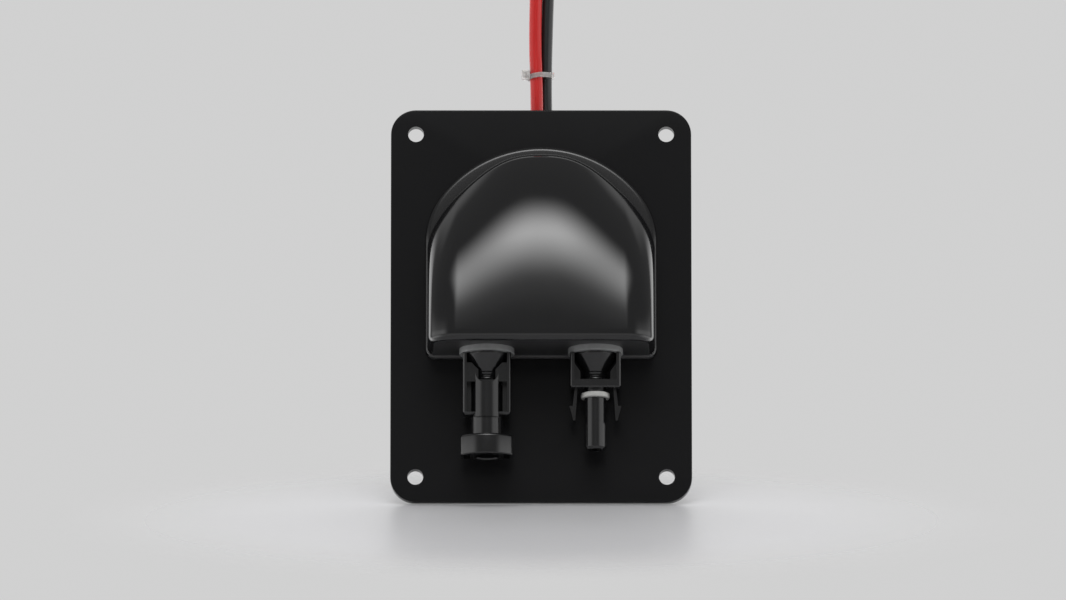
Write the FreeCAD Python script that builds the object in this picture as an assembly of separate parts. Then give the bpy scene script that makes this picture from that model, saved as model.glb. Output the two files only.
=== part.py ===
# Solar cable entry plate.
#
# A flat sheet plate carries a glossy moulded entry housing. Two solar
# connectors hang from the housing's lower, flat face: one with a wide mouth
# around a pin contact, one with a slim nose, two latch arms and a socket
# contact. A red and a black lead run from the contacts up inside the housing,
# back through a grommet in the plate and up behind it, where a tie holds them
# together.
#
# Frame: X to the right, Z up, the front looks along -Y. The origin is the
# centre of the plate's back face, the face that lies on a wall or a roof.
# "Depth" is the distance in front of the plate's front face. "Height" on the
# housing is the distance above its flat connector face. All in millimetres.

import FreeCAD, Part
import math
import os

V = FreeCAD.Vector
Y_AXIS = V(0, 1, 0)
Z_AXIS = V(0, 0, 1)
BACK = V(0, 1, 0)
FRONT = V(0, -1, 0)

# Plate: flat sheet, four corner holes, one hole for the leads
plate_width = 114.3
plate_height = 152.4
plate_thickness = 4.0
plate_corner_radius = 9.5
plate_edge_round = 0.5
corner_hole_diameter = 6.0
corner_hole_spacing_x = 95.25
corner_hole_spacing_z = 133.35
cable_hole_diameter = 25.0
cable_hole_z = 34.3

# Housing flange: an arch of three tangent arcs on two straight sides
flange_height = 82.5
flange_thickness = 2.2
flange_bottom_z = -21.2
flange_arch_rise = 37.0
flange_arch_side_radius = 30.2
flange_corner_radius = 4.0
flange_edge_round = 1.8
flange_side_margin = 1.5

# Housing dome: a crowned lid over straight sides, in a thin wall
dome_half_width = 42.5
dome_depth = 31.0
dome_corner_radius = 11.0
dome_draft_degrees = 1.5
dome_wall = 2.5
connector_face_inset = 1.0
connector_face_wall = 3.0
connector_face_edge_round = 3.0
crown_length = 80.7
crown_fall_power = 3.0
crown_side_inset = 8.2
crown_side_power = 2.58
crown_side_growth = 2.1
dome_rim_rise = 6.0
dome_rim_run = 3.0
dome_foot_slope = 4.0
dome_foot_fall = 0.2
section_point_count = 81
lid_section_count = 13
rim_section_count = 9

# Gasket between the flange and the plate
gasket_thickness = 0.8
gasket_inset = 0.4

# Screws from the plate's back into bosses of the housing
boss_diameter = 7.0
boss_low_from_side = 4.5
boss_low_height = 10.0
boss_high_from_side = 5.9
boss_high_height = 46.0
screw_diameter = 3.0
screw_hole_diameter = 3.4
screw_head_diameter = 5.8
screw_head_height = 1.7
screw_length = 10.0
screw_pilot_diameter = 2.5
screw_tip_room = 1.0
screw_recess_width = 1.0
screw_recess_length = 3.2
screw_recess_depth = 1.0

# Grommet in the plate's cable hole
grommet_bore = 21.0
grommet_flange_diameter = 29.0
grommet_flange_thickness = 1.5
grommet_clearance = 0.05

# Connector positions and the parts that both connectors share
connector_spacing = 41.0
connector_depth = 13.4
shank_diameter = 12.0
shank_length = 12.0
shank_clearance = 0.2
shoulder_diameter = 17.0
shoulder_thickness = 0.8
washer_diameter = 20.8
washer_thickness = 2.2
washer_edge_round = 0.4
nut_across_flats = 17.0
nut_thickness = 5.0
nut_chamfer = 0.8
thread_clearance = 0.1
cone_end_diameter = 9.4
cone_length = 5.7
ridge_count = 3
ridge_pitch = 1.1
ridge_depth = 0.3
collar_length = 3.4
collar_end_round = 0.7
contact_bore = 6.4
seal_bore = 9.0
seal_length = 7.0
seal_groove_depth = 0.5
seal_groove_width = 2.0
frame_edge_round = 1.0

# Pin connector: wide mouth, frame with side windows, bored tube. Drops are
# measured downwards from the washer.
pin_frame_width = 18.2
pin_frame_depth = 11.0
pin_frame_drop = 24.0
pin_frame_chamfer = 0.9
pin_rail_width = 1.5
pin_web_drop = 3.9
pin_web_recess = 0.8
cone_gap = 1.0
window_top_drop = 11.4
window_bottom_drop = 23.0
window_web = 1.5
strip_width = 8.7
strip_radius = 6.9
strip_drop = 25.0
strip_scoop_drop = 12.2
strip_scoop_land = 0.05
tube_diameter = 12.0
mouth_top_drop = 31.6
mouth_drop = 39.4
mouth_width = 19.7
mouth_depth = 16.0
mouth_face_radius = 13.0
mouth_corner_round = 1.0
mouth_shoulder_round = 1.3
mouth_edge_round = 0.5
mouth_bore = 9.2
mouth_bore_depth = 23.2
mouth_rim_chamfer = 0.5
latch_slot_inner = 6.4
latch_slot_outer = 8.6
latch_slot_depth = 6.4

# Socket connector: slim nose, two barbed latch arms, seal ring
socket_frame_width = 19.2
socket_frame_depth = 12.0
socket_frame_drop = 13.6
socket_frame_chamfer = 0.5
socket_rail_width = 1.7
socket_bar_thickness = 3.0
socket_neck_diameter = 8.0
nose_diameter = 8.4
nose_length = 19.7
nose_tip_round = 0.8
nose_bore = 5.4
nose_mouth_diameter = 4.6
nose_mouth_length = 1.2
seal_ring_diameter = 11.0
seal_ring_length = 2.0
seal_ring_drop = 15.0
seal_ring_round = 0.5
arm_root_x = 7.2
arm_lean = 0.9
arm_thickness = 1.0
arm_width = 5.6
arm_length = 12.3
barb_height = 1.2
barb_length = 5.6
arm_tip_taper = 0.2
arm_root_overlap = 1.0

# Contacts, turned metal
pin_diameter = 4.0
pin_recess = 6.0
pin_tip_round = 1.2
contact_shoulder_diameter = 6.2
contact_shoulder_length = 2.0
contact_shoulder_taper = 0.5
socket_outer_diameter = 5.2
socket_bore = 4.0
socket_bore_depth = 14.0
crimp_diameter = 5.8
crimp_length = 11.0
crimp_bore = 3.3
crimp_neck_length = 1.0
lead_start_height = 4.0
lead_straight_start = 15.0

# Leads and tie
lead_diameter = 4.8
conductor_diameter = 3.2
conductor_length = 9.0
tie_z = 92.0
tie_width = 2.1
tie_thickness = 1.1
tie_clearance = 0.1
tie_head_width = 3.4
tie_head_height = 3.9
tie_head_depth = 4.2
tie_tail_length = 2.2
tie_head_overlap = 0.4
tie_head_round = 0.5

# How far cutting tools stand out of what they cut
tool_reach = 1.0

# Derived places
front_y = -plate_thickness
connector_face_z = flange_bottom_z + connector_face_inset
washer_bottom_z = connector_face_z - washer_thickness
flange_front_depth = gasket_thickness + flange_thickness
flange_half_width = dome_half_width + flange_side_margin
crown_side_reach = dome_half_width - crown_side_inset
boss_low_x = dome_half_width - boss_low_from_side
boss_high_x = dome_half_width - boss_high_from_side
dome_root_depth = gasket_thickness - tool_reach
plate_cut_length = plate_thickness + 2 * tool_reach


def depth_y(depth):
    """Y of a point that lies this far in front of the plate's front face."""
    return front_y - depth


def housing_z(height):
    """Z of a point that lies this far above the flat connector face."""
    return connector_face_z + height


def cylinder(radius, start, length, direction):
    """A cylinder from its start point along a direction."""
    return Part.makeCylinder(radius, length, start, direction)


def box(x0, x1, y0, y1, z0, z1):
    """A box between two corners."""
    return Part.makeBox(x1 - x0, y1 - y0, z1 - z0, V(x0, y0, z0))


def upright_box_edges(solid, direction):
    """The straight edges of a solid that run along a direction."""
    found = []
    for edge in solid.Edges:
        if not isinstance(edge.Curve, Part.Line):
            continue
        if abs(edge.tangentAt(edge.FirstParameter).dot(direction)) > 0.999:
            found.append(edge)
    return found


def edges_in_plane(solid, axis, value):
    """The edges of a solid that lie in the plane where x, y or z has a value."""
    low = {"x": "XMin", "y": "YMin", "z": "ZMin"}[axis]
    high = {"x": "XMax", "y": "YMax", "z": "ZMax"}[axis]
    found = []
    for edge in solid.Edges:
        bounds = edge.BoundBox
        if abs(getattr(bounds, low) - value) < 0.02 and abs(getattr(bounds, high) - value) < 0.02:
            found.append(edge)
    return found


def revolve_profile(points, centre):
    """A closed profile of (radius, z) points turned about a vertical axis."""
    corners = [V(centre.x + r, centre.y, z) for r, z in points]
    wire = Part.makePolygon(corners + corners[:1])
    return Part.Face(wire).revolve(V(centre.x, centre.y, 0), Z_AXIS, 360)


# Plate


def make_plate():
    """The sheet with its rounded corners, fixing holes and countersinks."""
    plate = box(-plate_width / 2, plate_width / 2, front_y, 0, -plate_height / 2, plate_height / 2)
    plate = plate.makeFillet(plate_corner_radius, upright_box_edges(plate, Y_AXIS))
    plate = plate.makeFillet(plate_edge_round, edges_in_plane(plate, "y", front_y))
    for x, z in corner_hole_places():
        plate = plate.cut(plate_drill(corner_hole_diameter, x, z))
    plate = plate.cut(plate_drill(cable_hole_diameter, 0, cable_hole_z))
    for x, z in screw_places():
        plate = plate.cut(plate_drill(screw_hole_diameter, x, z))
        plate = plate.cut(countersink(x, z))
    return plate


def plate_drill(diameter, x, z):
    """A round tool through the whole plate."""
    return cylinder(diameter / 2, V(x, front_y - tool_reach, z), plate_cut_length, BACK)


def corner_hole_places():
    """Centres of the four corner holes, as (x, z)."""
    half_x = corner_hole_spacing_x / 2
    half_z = corner_hole_spacing_z / 2
    return [(sx * half_x, sz * half_z) for sz in (1, -1) for sx in (-1, 1)]


def screw_places():
    """Centres of the four housing screws, as (x, z)."""
    low_z = housing_z(boss_low_height)
    high_z = housing_z(boss_high_height)
    return [(-boss_low_x, low_z), (boss_low_x, low_z), (-boss_high_x, high_z), (boss_high_x, high_z)]


def countersink(x, z):
    """The cone that a screw's flush head fills, open at the plate's back."""
    wide = screw_head_diameter / 2
    narrow = screw_hole_diameter / 2
    return Part.makeCone(wide, narrow, screw_head_height, V(x, 0, z), FRONT)


def make_screw(x, z):
    """A countersunk screw, its head flush with the plate's back."""
    head = Part.makeCone(screw_head_diameter / 2, screw_diameter / 2, screw_head_height, V(x, 0, z), FRONT)
    shank = cylinder(screw_diameter / 2, V(x, 0, z), plate_thickness + gasket_thickness, FRONT)
    thread_start = V(x, depth_y(gasket_thickness), z)
    thread_length = screw_length - plate_thickness - gasket_thickness
    thread = cylinder(screw_pilot_diameter / 2, thread_start, thread_length, FRONT)
    screw = head.fuse([shank, thread])
    half = screw_recess_length / 2
    slim = screw_recess_width / 2
    deep = screw_recess_depth
    screw = screw.cut(box(x - half, x + half, -deep, tool_reach, z - slim, z + slim))
    return screw.cut(box(x - slim, x + slim, -deep, tool_reach, z - half, z + half))


# Housing


def crown_depth(x, height, inset):
    """Depth of the lid above a point, inside the outer skin by an inset.

    The lid is flat at the connector face. It falls with the cube of the
    height towards the arch, and to the sides the more the higher up. The
    last part rounds the lid into the side walls with a quarter circle, and
    along the arch the lid ends in a steep rim.
    """
    along = height / (crown_length - inset)
    across = abs(x) / (crown_side_reach - inset)
    fall = along ** crown_fall_power + along ** crown_side_growth * across ** crown_side_power
    radius = dome_corner_radius - inset
    into_corner = max(0.0, abs(x) - (dome_half_width - dome_corner_radius))
    into_corner = min(into_corner, radius)
    corner_drop = radius - math.sqrt(radius ** 2 - into_corner ** 2)
    return with_rim((dome_depth - inset) * (1 - fall) - corner_drop, inset)


def with_rim(depth, inset):
    """A lid depth with the rim that stands up from the flange added.

    The rim rises from the flange's front by a quarter of an ellipse. The lid
    above it is pressed together by as much, so its deepest point stays. Below
    the flange's front the rim goes on as a steep foot.
    """
    above = depth - flange_front_depth
    if above <= 0:
        return flange_front_depth + above * dome_foot_slope
    whole = dome_depth - inset - flange_front_depth
    share = min(above / dome_rim_run, 1.0)
    rim = dome_rim_rise * math.sqrt(1 - (1 - share) ** 2)
    return flange_front_depth + rim + above * (whole - dome_rim_rise) / whole


def section_outline(height, inset, back_depth):
    """Right half of a level section, from the back plane to the middle.

    It holds the straight side wall, where there is one, the rounded corner
    and the lid, as dense (x, depth) points.
    """
    half_width = dome_half_width - inset
    corner_start = dome_half_width - dome_corner_radius
    radius = dome_corner_radius - inset
    steps = 400
    outline = []
    wall_top = crown_depth(half_width, height, inset)
    if wall_top > back_depth:
        outline.append((half_width, back_depth))
        outline.append((half_width, wall_top))
    for i in range(steps + 1):
        turn = math.pi / 2 * (1 - i / steps)
        x = corner_start + radius * math.sin(turn)
        outline.append((x, crown_depth(x, height, inset)))
    for i in range(1, steps + 1):
        x = corner_start * (1 - i / steps)
        outline.append((x, crown_depth(x, height, inset)))
    start = 0
    while outline[start][1] < back_depth:
        start += 1
    if start > 0:
        x0, d0 = outline[start - 1]
        x1, d1 = outline[start]
        part = (back_depth - d0) / (d1 - d0)
        outline = [(x0 + (x1 - x0) * part, back_depth)] + outline[start:]
    return outline


def even_points(outline, count):
    """Points spread evenly along a dense outline."""
    lengths = [0.0]
    for (x0, d0), (x1, d1) in zip(outline, outline[1:]):
        lengths.append(lengths[-1] + math.hypot(x1 - x0, d1 - d0))
    points = []
    j = 0
    for i in range(count):
        target = lengths[-1] * i / (count - 1)
        while j < len(outline) - 2 and lengths[j + 1] < target:
            j += 1
        span = lengths[j + 1] - lengths[j]
        part = (target - lengths[j]) / span if span > 0 else 0.0
        x0, d0 = outline[j]
        x1, d1 = outline[j + 1]
        points.append((x0 + (x1 - x0) * part, d0 + (d1 - d0) * part))
    return points


def section_points(height, inset, back_depth):
    """A level section of the dome as points, from the right root to the left."""
    half = even_points(section_outline(height, inset, back_depth), section_point_count)
    spread = math.tan(math.radians(dome_draft_degrees)) / dome_half_width
    drafted = [(x * (1 + spread * (dome_depth - d)), d) for x, d in half]
    left = [(-x, d) for x, d in reversed(drafted[:-1])]
    z = housing_z(height)
    return [V(x, depth_y(d), z) for x, d in drafted + left]


def spline_through(points, parameters):
    """A cubic curve through points, at the given parameters."""
    curve = Part.BSplineCurve()
    curve.interpolate(Points=points, Parameters=parameters)
    return curve


def surface_through(rows):
    """A bicubic surface through rows of points that all hold as many points.

    Every column of points becomes a curve first. Curves through the poles of
    those curves then give the poles of the surface.
    """
    count = len(rows[0])
    along = [j / (count - 1) for j in range(count)]
    climb = [0.0]
    for low, high in zip(rows, rows[1:]):
        gaps = [a.distanceToPoint(b) for a, b in zip(low, high)]
        climb.append(climb[-1] + sum(gaps) / count)
    climb = [value / climb[-1] for value in climb]
    columns = [spline_through([row[j] for row in rows], climb) for j in range(count)]
    pole_rows = []
    for i in range(columns[0].NbPoles):
        pole_rows.append(spline_through([column.getPole(i + 1) for column in columns], along))
    surface = Part.BSplineSurface()
    surface.buildFromPolesMultsKnots(
        [row.getPoles() for row in pole_rows],
        columns[0].getMultiplicities(), pole_rows[0].getMultiplicities(),
        columns[0].getKnots(), pole_rows[0].getKnots(),
        False, False, columns[0].Degree, pole_rows[0].Degree,
    )
    return surface


def crown_height(inset, depth):
    """Height at which the middle of the lid, without its rim, has fallen to a depth."""
    left = 1 - depth / (dome_depth - inset)
    return (crown_length - inset) * left ** (1 / crown_fall_power)


def section_heights(inset, bottom_height):
    """Heights of the level sections, closer and closer towards the arch."""
    rim_height = crown_height(inset, flange_front_depth + dome_rim_run)
    heights = []
    for i in range(lid_section_count):
        share = math.sin(math.pi / 2 * i / (lid_section_count - 1))
        heights.append(bottom_height + (rim_height - bottom_height) * share)
    for i in range(1, rim_section_count):
        share = (1 - i / (rim_section_count - 1)) ** 2
        heights.append(crown_height(inset, flange_front_depth + dome_rim_run * share))
    heights.append(crown_height(inset, flange_front_depth - dome_foot_fall))
    return heights


def dome_solid(inset, bottom_height, back_depth):
    """The dome without a hollow, closed by a back, a bottom and a narrow top."""
    heights = section_heights(inset, bottom_height)
    rows = [section_points(height, inset, back_depth) for height in heights]
    skin = surface_through(rows).toShape()
    back_corners = [rows[0][0], rows[0][-1], rows[-1][-1], rows[-1][0]]
    bottom_line = Part.makeLine(back_corners[0], back_corners[1])
    top_line = Part.makeLine(back_corners[2], back_corners[3])
    sides = {}
    for edge in skin.Edges:
        sides[nearest_side(edge, rows)] = edge
    back = Part.Face(Part.Wire([bottom_line, sides["left"], top_line, sides["right"]]))
    bottom = Part.Face(Part.Wire([bottom_line, sides["bottom"]]))
    top = Part.Face(Part.Wire([top_line, sides["top"]]))
    shell = Part.makeShell([skin, back, bottom, top])
    shell.sewShape()
    solid = Part.makeSolid(shell)
    if solid.Volume < 0:
        solid.reverse()
    return solid


def nearest_side(edge, rows):
    """Which side of a grid of points an edge follows: its middle point tells."""
    middle = edge.valueAt((edge.FirstParameter + edge.LastParameter) / 2)
    sides = {
        "bottom": rows[0],
        "top": rows[-1],
        "right": [row[0] for row in rows],
        "left": [row[-1] for row in rows],
    }
    return min(sides, key=lambda side: min(middle.distanceToPoint(p) for p in sides[side]))


def arch_wire(half_width, bottom_z, top_z, rise, side_radius, corner_radius, y):
    """Flange outline: rounded feet, straight sides, arch of three arcs."""
    spring_z = top_z - rise
    side_x = half_width - side_radius
    crown_radius = (side_x ** 2 + rise ** 2 - side_radius ** 2) / (2 * (rise - side_radius))
    crown_z = top_z - crown_radius
    turn = math.atan2(side_x, spring_z - crown_z)
    meet = V(crown_radius * math.sin(turn), y, crown_z + crown_radius * math.cos(turn))
    half_turn = (turn + math.pi / 2) / 2
    side_mid_x = side_x + side_radius * math.sin(half_turn)
    side_mid = V(side_mid_x, y, spring_z + side_radius * math.cos(half_turn))
    foot = corner_radius * (1 - math.sqrt(0.5))

    def mirrored(point):
        return V(-point.x, point.y, point.z)

    right_spring = V(half_width, y, spring_z)
    right_foot = V(half_width, y, bottom_z + corner_radius)
    right_toe = V(half_width - corner_radius, y, bottom_z)
    right_foot_mid = V(half_width - foot, y, bottom_z + foot)
    edges = [
        Part.makeLine(mirrored(right_toe), right_toe),
        Part.Arc(right_toe, right_foot_mid, right_foot).toShape(),
        Part.makeLine(right_foot, right_spring),
        Part.Arc(right_spring, side_mid, meet).toShape(),
        Part.Arc(meet, V(0, y, top_z), mirrored(meet)).toShape(),
        Part.Arc(mirrored(meet), mirrored(side_mid), mirrored(right_spring)).toShape(),
        Part.makeLine(mirrored(right_spring), mirrored(right_foot)),
        Part.Arc(mirrored(right_foot), mirrored(right_foot_mid), mirrored(right_toe)).toShape(),
    ]
    return Part.Wire(edges)


def flange_wire(inset, depth):
    """The flange's outline, drawn inwards by an inset, at a depth."""
    return arch_wire(
        flange_half_width - inset,
        flange_bottom_z + inset,
        flange_bottom_z + flange_height - inset,
        flange_arch_rise - inset,
        flange_arch_side_radius - inset,
        flange_corner_radius - inset,
        depth_y(depth),
    )


def make_housing():
    """Flange and hollow dome with its screw bosses and connector holes."""
    flange = Part.Face(flange_wire(0, gasket_thickness)).extrude(FRONT * flange_thickness)
    rim = edges_in_plane(flange, "y", depth_y(flange_front_depth))
    flange = flange.makeFillet(flange_edge_round, rim)
    dome = dome_solid(0, 0, gasket_thickness)
    rim = [e for e in edges_in_plane(dome, "z", connector_face_z) if not isinstance(e.Curve, Part.Line)]
    dome = dome.makeFillet(connector_face_edge_round, rim)
    full = flange.fuse(dome).removeSplitter()
    hollow = dome_solid(dome_wall, connector_face_wall, dome_root_depth)
    housing = full.cut(hollow)
    bosses = []
    for x, z in screw_places():
        boss = cylinder(boss_diameter / 2, V(x, depth_y(gasket_thickness), z), dome_depth, FRONT)
        bosses.append(boss.common(full))
    housing = housing.fuse(bosses).removeSplitter()
    pilot_length = screw_length - plate_thickness - gasket_thickness + screw_tip_room
    for x, z in screw_places():
        start = V(x, depth_y(dome_root_depth), z)
        pilot = cylinder(screw_pilot_diameter / 2, start, pilot_length + tool_reach, FRONT)
        housing = housing.cut(pilot)
    for centre in connector_centres():
        start = V(centre.x, centre.y, connector_face_z - tool_reach)
        through = connector_face_wall + 2 * tool_reach
        hole = cylinder(shank_diameter / 2 + shank_clearance, start, through, Z_AXIS)
        housing = housing.cut(hole)
    return housing


def make_gasket():
    """Flat sheet gasket under the flange and the bosses."""
    sheet = Part.Face(flange_wire(gasket_inset, 0)).extrude(FRONT * gasket_thickness)
    opening = dome_solid(dome_wall, connector_face_wall, dome_root_depth)
    slice_box = box(-plate_width, plate_width, depth_y(gasket_thickness), front_y,
                    -plate_height, plate_height)
    window = opening.common(slice_box)
    gasket = sheet.cut(window)
    pads = []
    for x, z in screw_places():
        pads.append(cylinder(boss_diameter / 2, V(x, front_y, z), gasket_thickness, FRONT))
    gasket = gasket.fuse(pads).removeSplitter()
    for x, z in screw_places():
        start = V(x, front_y + tool_reach, z)
        through = gasket_thickness + 2 * tool_reach
        gasket = gasket.cut(cylinder(screw_hole_diameter / 2, start, through, FRONT))
    return gasket


def make_grommet():
    """Rubber grommet whose groove holds the edge of the plate's hole."""
    centre = V(0, 0, cable_hole_z)
    groove_radius = cable_hole_diameter / 2 - grommet_clearance
    whole = plate_thickness + 2 * grommet_flange_thickness
    body = cylinder(groove_radius, V(0, grommet_flange_thickness, cable_hole_z), whole, FRONT)
    flange_radius = grommet_flange_diameter / 2
    flange_round = grommet_flange_thickness / 2
    back_start = centre + BACK * grommet_flange_thickness
    back = cylinder(flange_radius, back_start, grommet_flange_thickness, FRONT)
    back = back.makeFillet(flange_round, edges_in_plane(back, "y", grommet_flange_thickness))
    front = cylinder(flange_radius, centre + V(0, front_y, 0), grommet_flange_thickness, FRONT)
    front_rim = edges_in_plane(front, "y", depth_y(grommet_flange_thickness))
    front = front.makeFillet(flange_round, front_rim)
    grommet = body.fuse([back, front]).removeSplitter()
    bore = cylinder(grommet_bore / 2, back_start + BACK * tool_reach, whole + 2 * tool_reach, FRONT)
    return grommet.cut(bore)


# Connectors


def connector_centres():
    """Axis points of the pin connector (left) and socket connector (right)."""
    y = depth_y(connector_depth)
    return [V(-connector_spacing / 2, y, 0), V(connector_spacing / 2, y, 0)]


def cone_profile(gap=0.0):
    """Cone under the shoulder as (radius, z), grown outwards by a gap."""
    cone_top = washer_bottom_z - shoulder_thickness
    cone_bottom = cone_top - cone_length
    return [(shoulder_diameter / 2 + gap, cone_top), (cone_end_diameter / 2 + gap, cone_bottom)]


def connector_root(centre):
    """What both bodies share: shank, shoulder, cone and ridged collar."""
    top = connector_face_z + shank_length
    r_shank = shank_diameter / 2
    r_cone = cone_end_diameter / 2
    points = [(0, top), (r_shank, top), (r_shank, washer_bottom_z)]
    points += [(shoulder_diameter / 2, washer_bottom_z)] + cone_profile()
    z = points[-1][1]
    bottom = z - collar_length
    for _ in range(ridge_count):
        points.append((r_cone - ridge_depth, z - ridge_pitch / 2))
        z -= ridge_pitch
        points.append((r_cone, z))
    points += [(r_cone, bottom), (r_cone - collar_end_round, bottom - collar_end_round)]
    points.append((0, bottom - collar_end_round))
    return revolve_profile(points, centre)


def cone_clearance(centre, low_z, inner_width):
    """The space that a frame leaves open around the cone, between its rails."""
    top = washer_bottom_z - shoulder_thickness
    points = [(0, top)] + cone_profile(cone_gap)
    points += [(cone_end_diameter / 2 + cone_gap, low_z), (0, low_z)]
    space = revolve_profile(points, centre)
    between_rails = centred_box(centre, inner_width, 2 * shoulder_diameter, low_z, top)
    return space.common(between_rails)


def contact_bores(centre, low_z):
    """Bore for the contact and wider bore for the wire seal."""
    top = connector_face_z + shank_length
    seal_floor = top - seal_length
    narrow = cylinder(contact_bore / 2, V(centre.x, centre.y, low_z), top - low_z, Z_AXIS)
    wide = cylinder(seal_bore / 2, V(centre.x, centre.y, seal_floor), seal_length + tool_reach, Z_AXIS)
    return narrow.fuse(wide)


def centred_box(centre, width, depth, low_z, high_z):
    """A box around a connector's axis."""
    half_x = width / 2
    half_y = depth / 2
    return box(centre.x - half_x, centre.x + half_x, centre.y - half_y, centre.y + half_y,
               low_z, high_z)


def frame_block(centre, width, depth, drop, chamfer):
    """Block below the washer with rounded rails and its two lower ends cut back."""
    low_z = washer_bottom_z - drop
    block = centred_box(centre, width, depth, low_z, washer_bottom_z)
    block = block.makeFillet(frame_edge_round, upright_box_edges(block, Z_AXIS))
    feet = [e for e in upright_box_edges(block, Y_AXIS) if abs(e.BoundBox.ZMin - low_z) < 0.01]
    return block.makeChamfer(chamfer, feet)


def side_pocket(centre, side, inner, outer, depth, low_z, high_z):
    """Pockets from the front and the back that leave a web between them."""
    x0 = centre.x + side * inner
    x1 = centre.x + side * outer
    x0, x1 = min(x0, x1), max(x0, x1)
    reach = depth / 2 + tool_reach
    front = box(x0, x1, centre.y - reach, centre.y - window_web / 2, low_z, high_z)
    back = box(x0, x1, centre.y + window_web / 2, centre.y + reach, low_z, high_z)
    return [front, back]


def make_pin_frame(centre):
    """Frame with open triangles beside the cone and windows lower down."""
    block = frame_block(centre, pin_frame_width, pin_frame_depth, pin_frame_drop, pin_frame_chamfer)
    inner_width = pin_frame_width - 2 * pin_rail_width
    web_z = washer_bottom_z - pin_web_drop
    window_top = washer_bottom_z - window_top_drop
    web_low_z = window_top + pin_web_recess
    through = pin_frame_depth + 2 * tool_reach
    block = block.cut(centred_box(centre, inner_width, through, web_z, washer_bottom_z + tool_reach))
    for side in (-1, 1):
        y = centre.y + side * (pin_frame_depth / 2 - pin_web_recess)
        outside = y + side * (pin_web_recess + tool_reach)
        half = inner_width / 2
        block = block.cut(box(centre.x - half, centre.x + half, min(y, outside), max(y, outside),
                              web_low_z, web_z + tool_reach))
    block = block.cut(cone_clearance(centre, web_low_z, inner_width))
    cutters = []
    for side in (-1, 1):
        cutters += side_pocket(centre, side, strip_width / 2, inner_width / 2, pin_frame_depth,
                               washer_bottom_z - window_bottom_drop, window_top)
    return block.cut(cutters[0].fuse(cutters[1:]))


def make_front_strip(centre):
    """Rounded strips on the front and back of the tube, scooped at the top."""
    low_z = washer_bottom_z - strip_drop
    high_z = washer_bottom_z - strip_scoop_drop + strip_width / 2
    strip = cylinder(strip_radius, V(centre.x, centre.y, low_z), high_z - low_z, Z_AXIS)
    strip = strip.common(centred_box(centre, strip_width, 3 * strip_radius, low_z, high_z))
    scoop_start = V(centre.x, centre.y - 2 * strip_radius, high_z)
    strip = strip.cut(cylinder(strip_width / 2 - strip_scoop_land, scoop_start, 4 * strip_radius, BACK))
    return strip


def make_mouth(centre):
    """Wide mouth block with bulged front and back."""
    low_z = washer_bottom_z - mouth_drop
    high_z = washer_bottom_z - mouth_top_drop
    mouth = centred_box(centre, mouth_width, mouth_depth, low_z, high_z)
    shoulders = [e for e in upright_box_edges(mouth, Y_AXIS) if e.BoundBox.ZMin > low_z + mouth_edge_round]
    mouth = mouth.makeFillet(mouth_shoulder_round, shoulders)
    for side in (-1, 1):
        y = centre.y + side * (mouth_face_radius - mouth_depth / 2)
        mouth = mouth.common(cylinder(mouth_face_radius, V(centre.x, y, low_z), high_z - low_z, Z_AXIS))
    mouth = mouth.makeFillet(mouth_corner_round, upright_box_edges(mouth, Z_AXIS))
    return mouth.makeFillet(mouth_edge_round, edges_in_plane(mouth, "z", low_z))


def make_pin_body(centre):
    """Body with the wide mouth: frame, tube, strips, mouth and bores."""
    cx = centre.x
    cy = centre.y
    mouth_z = washer_bottom_z - mouth_drop
    tube_top = washer_bottom_z - window_top_drop
    tube_low_z = mouth_z + 2 * mouth_edge_round
    tube = cylinder(tube_diameter / 2, V(cx, cy, tube_low_z), tube_top - tube_low_z, Z_AXIS)
    pieces = [make_pin_frame(centre), tube, make_front_strip(centre), make_mouth(centre)]
    body = connector_root(centre).fuse(pieces).removeSplitter()
    bore_top = mouth_z + mouth_bore_depth
    bore_start = V(cx, cy, mouth_z - tool_reach)
    bore = cylinder(mouth_bore / 2, bore_start, mouth_bore_depth + tool_reach, Z_AXIS)
    wide = mouth_bore / 2 + mouth_rim_chamfer
    rim = Part.makeCone(wide, mouth_bore / 2, mouth_rim_chamfer, V(cx, cy, mouth_z), Z_AXIS)
    body = body.cut(bore.fuse([rim, contact_bores(centre, bore_top - tool_reach)]))
    for side in (-1, 1):
        x0 = cx + side * latch_slot_inner
        x1 = cx + side * latch_slot_outer
        half_slot = latch_slot_depth / 2
        body = body.cut(box(min(x0, x1), max(x0, x1), cy - half_slot, cy + half_slot,
                            mouth_z - tool_reach, washer_bottom_z - mouth_top_drop + tool_reach))
    return body


def latch_arm(centre, side, root_z, frame_z):
    """A springy arm that leans out a little and ends in a barb."""
    barb_z = frame_z - (arm_length - barb_length)
    tip_z = frame_z - arm_length
    inner = arm_root_x - arm_thickness / 2
    outer = arm_root_x + arm_thickness / 2
    points = [
        (inner, root_z),
        (outer, root_z),
        (outer + arm_lean, barb_z),
        (outer + arm_lean + barb_height, barb_z),
        (outer + arm_lean - arm_tip_taper, tip_z),
        (inner + arm_lean, tip_z),
    ]
    corners = [V(centre.x + side * px, centre.y - arm_width / 2, pz) for px, pz in points]
    return Part.Face(Part.makePolygon(corners + corners[:1])).extrude(BACK * arm_width)


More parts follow.
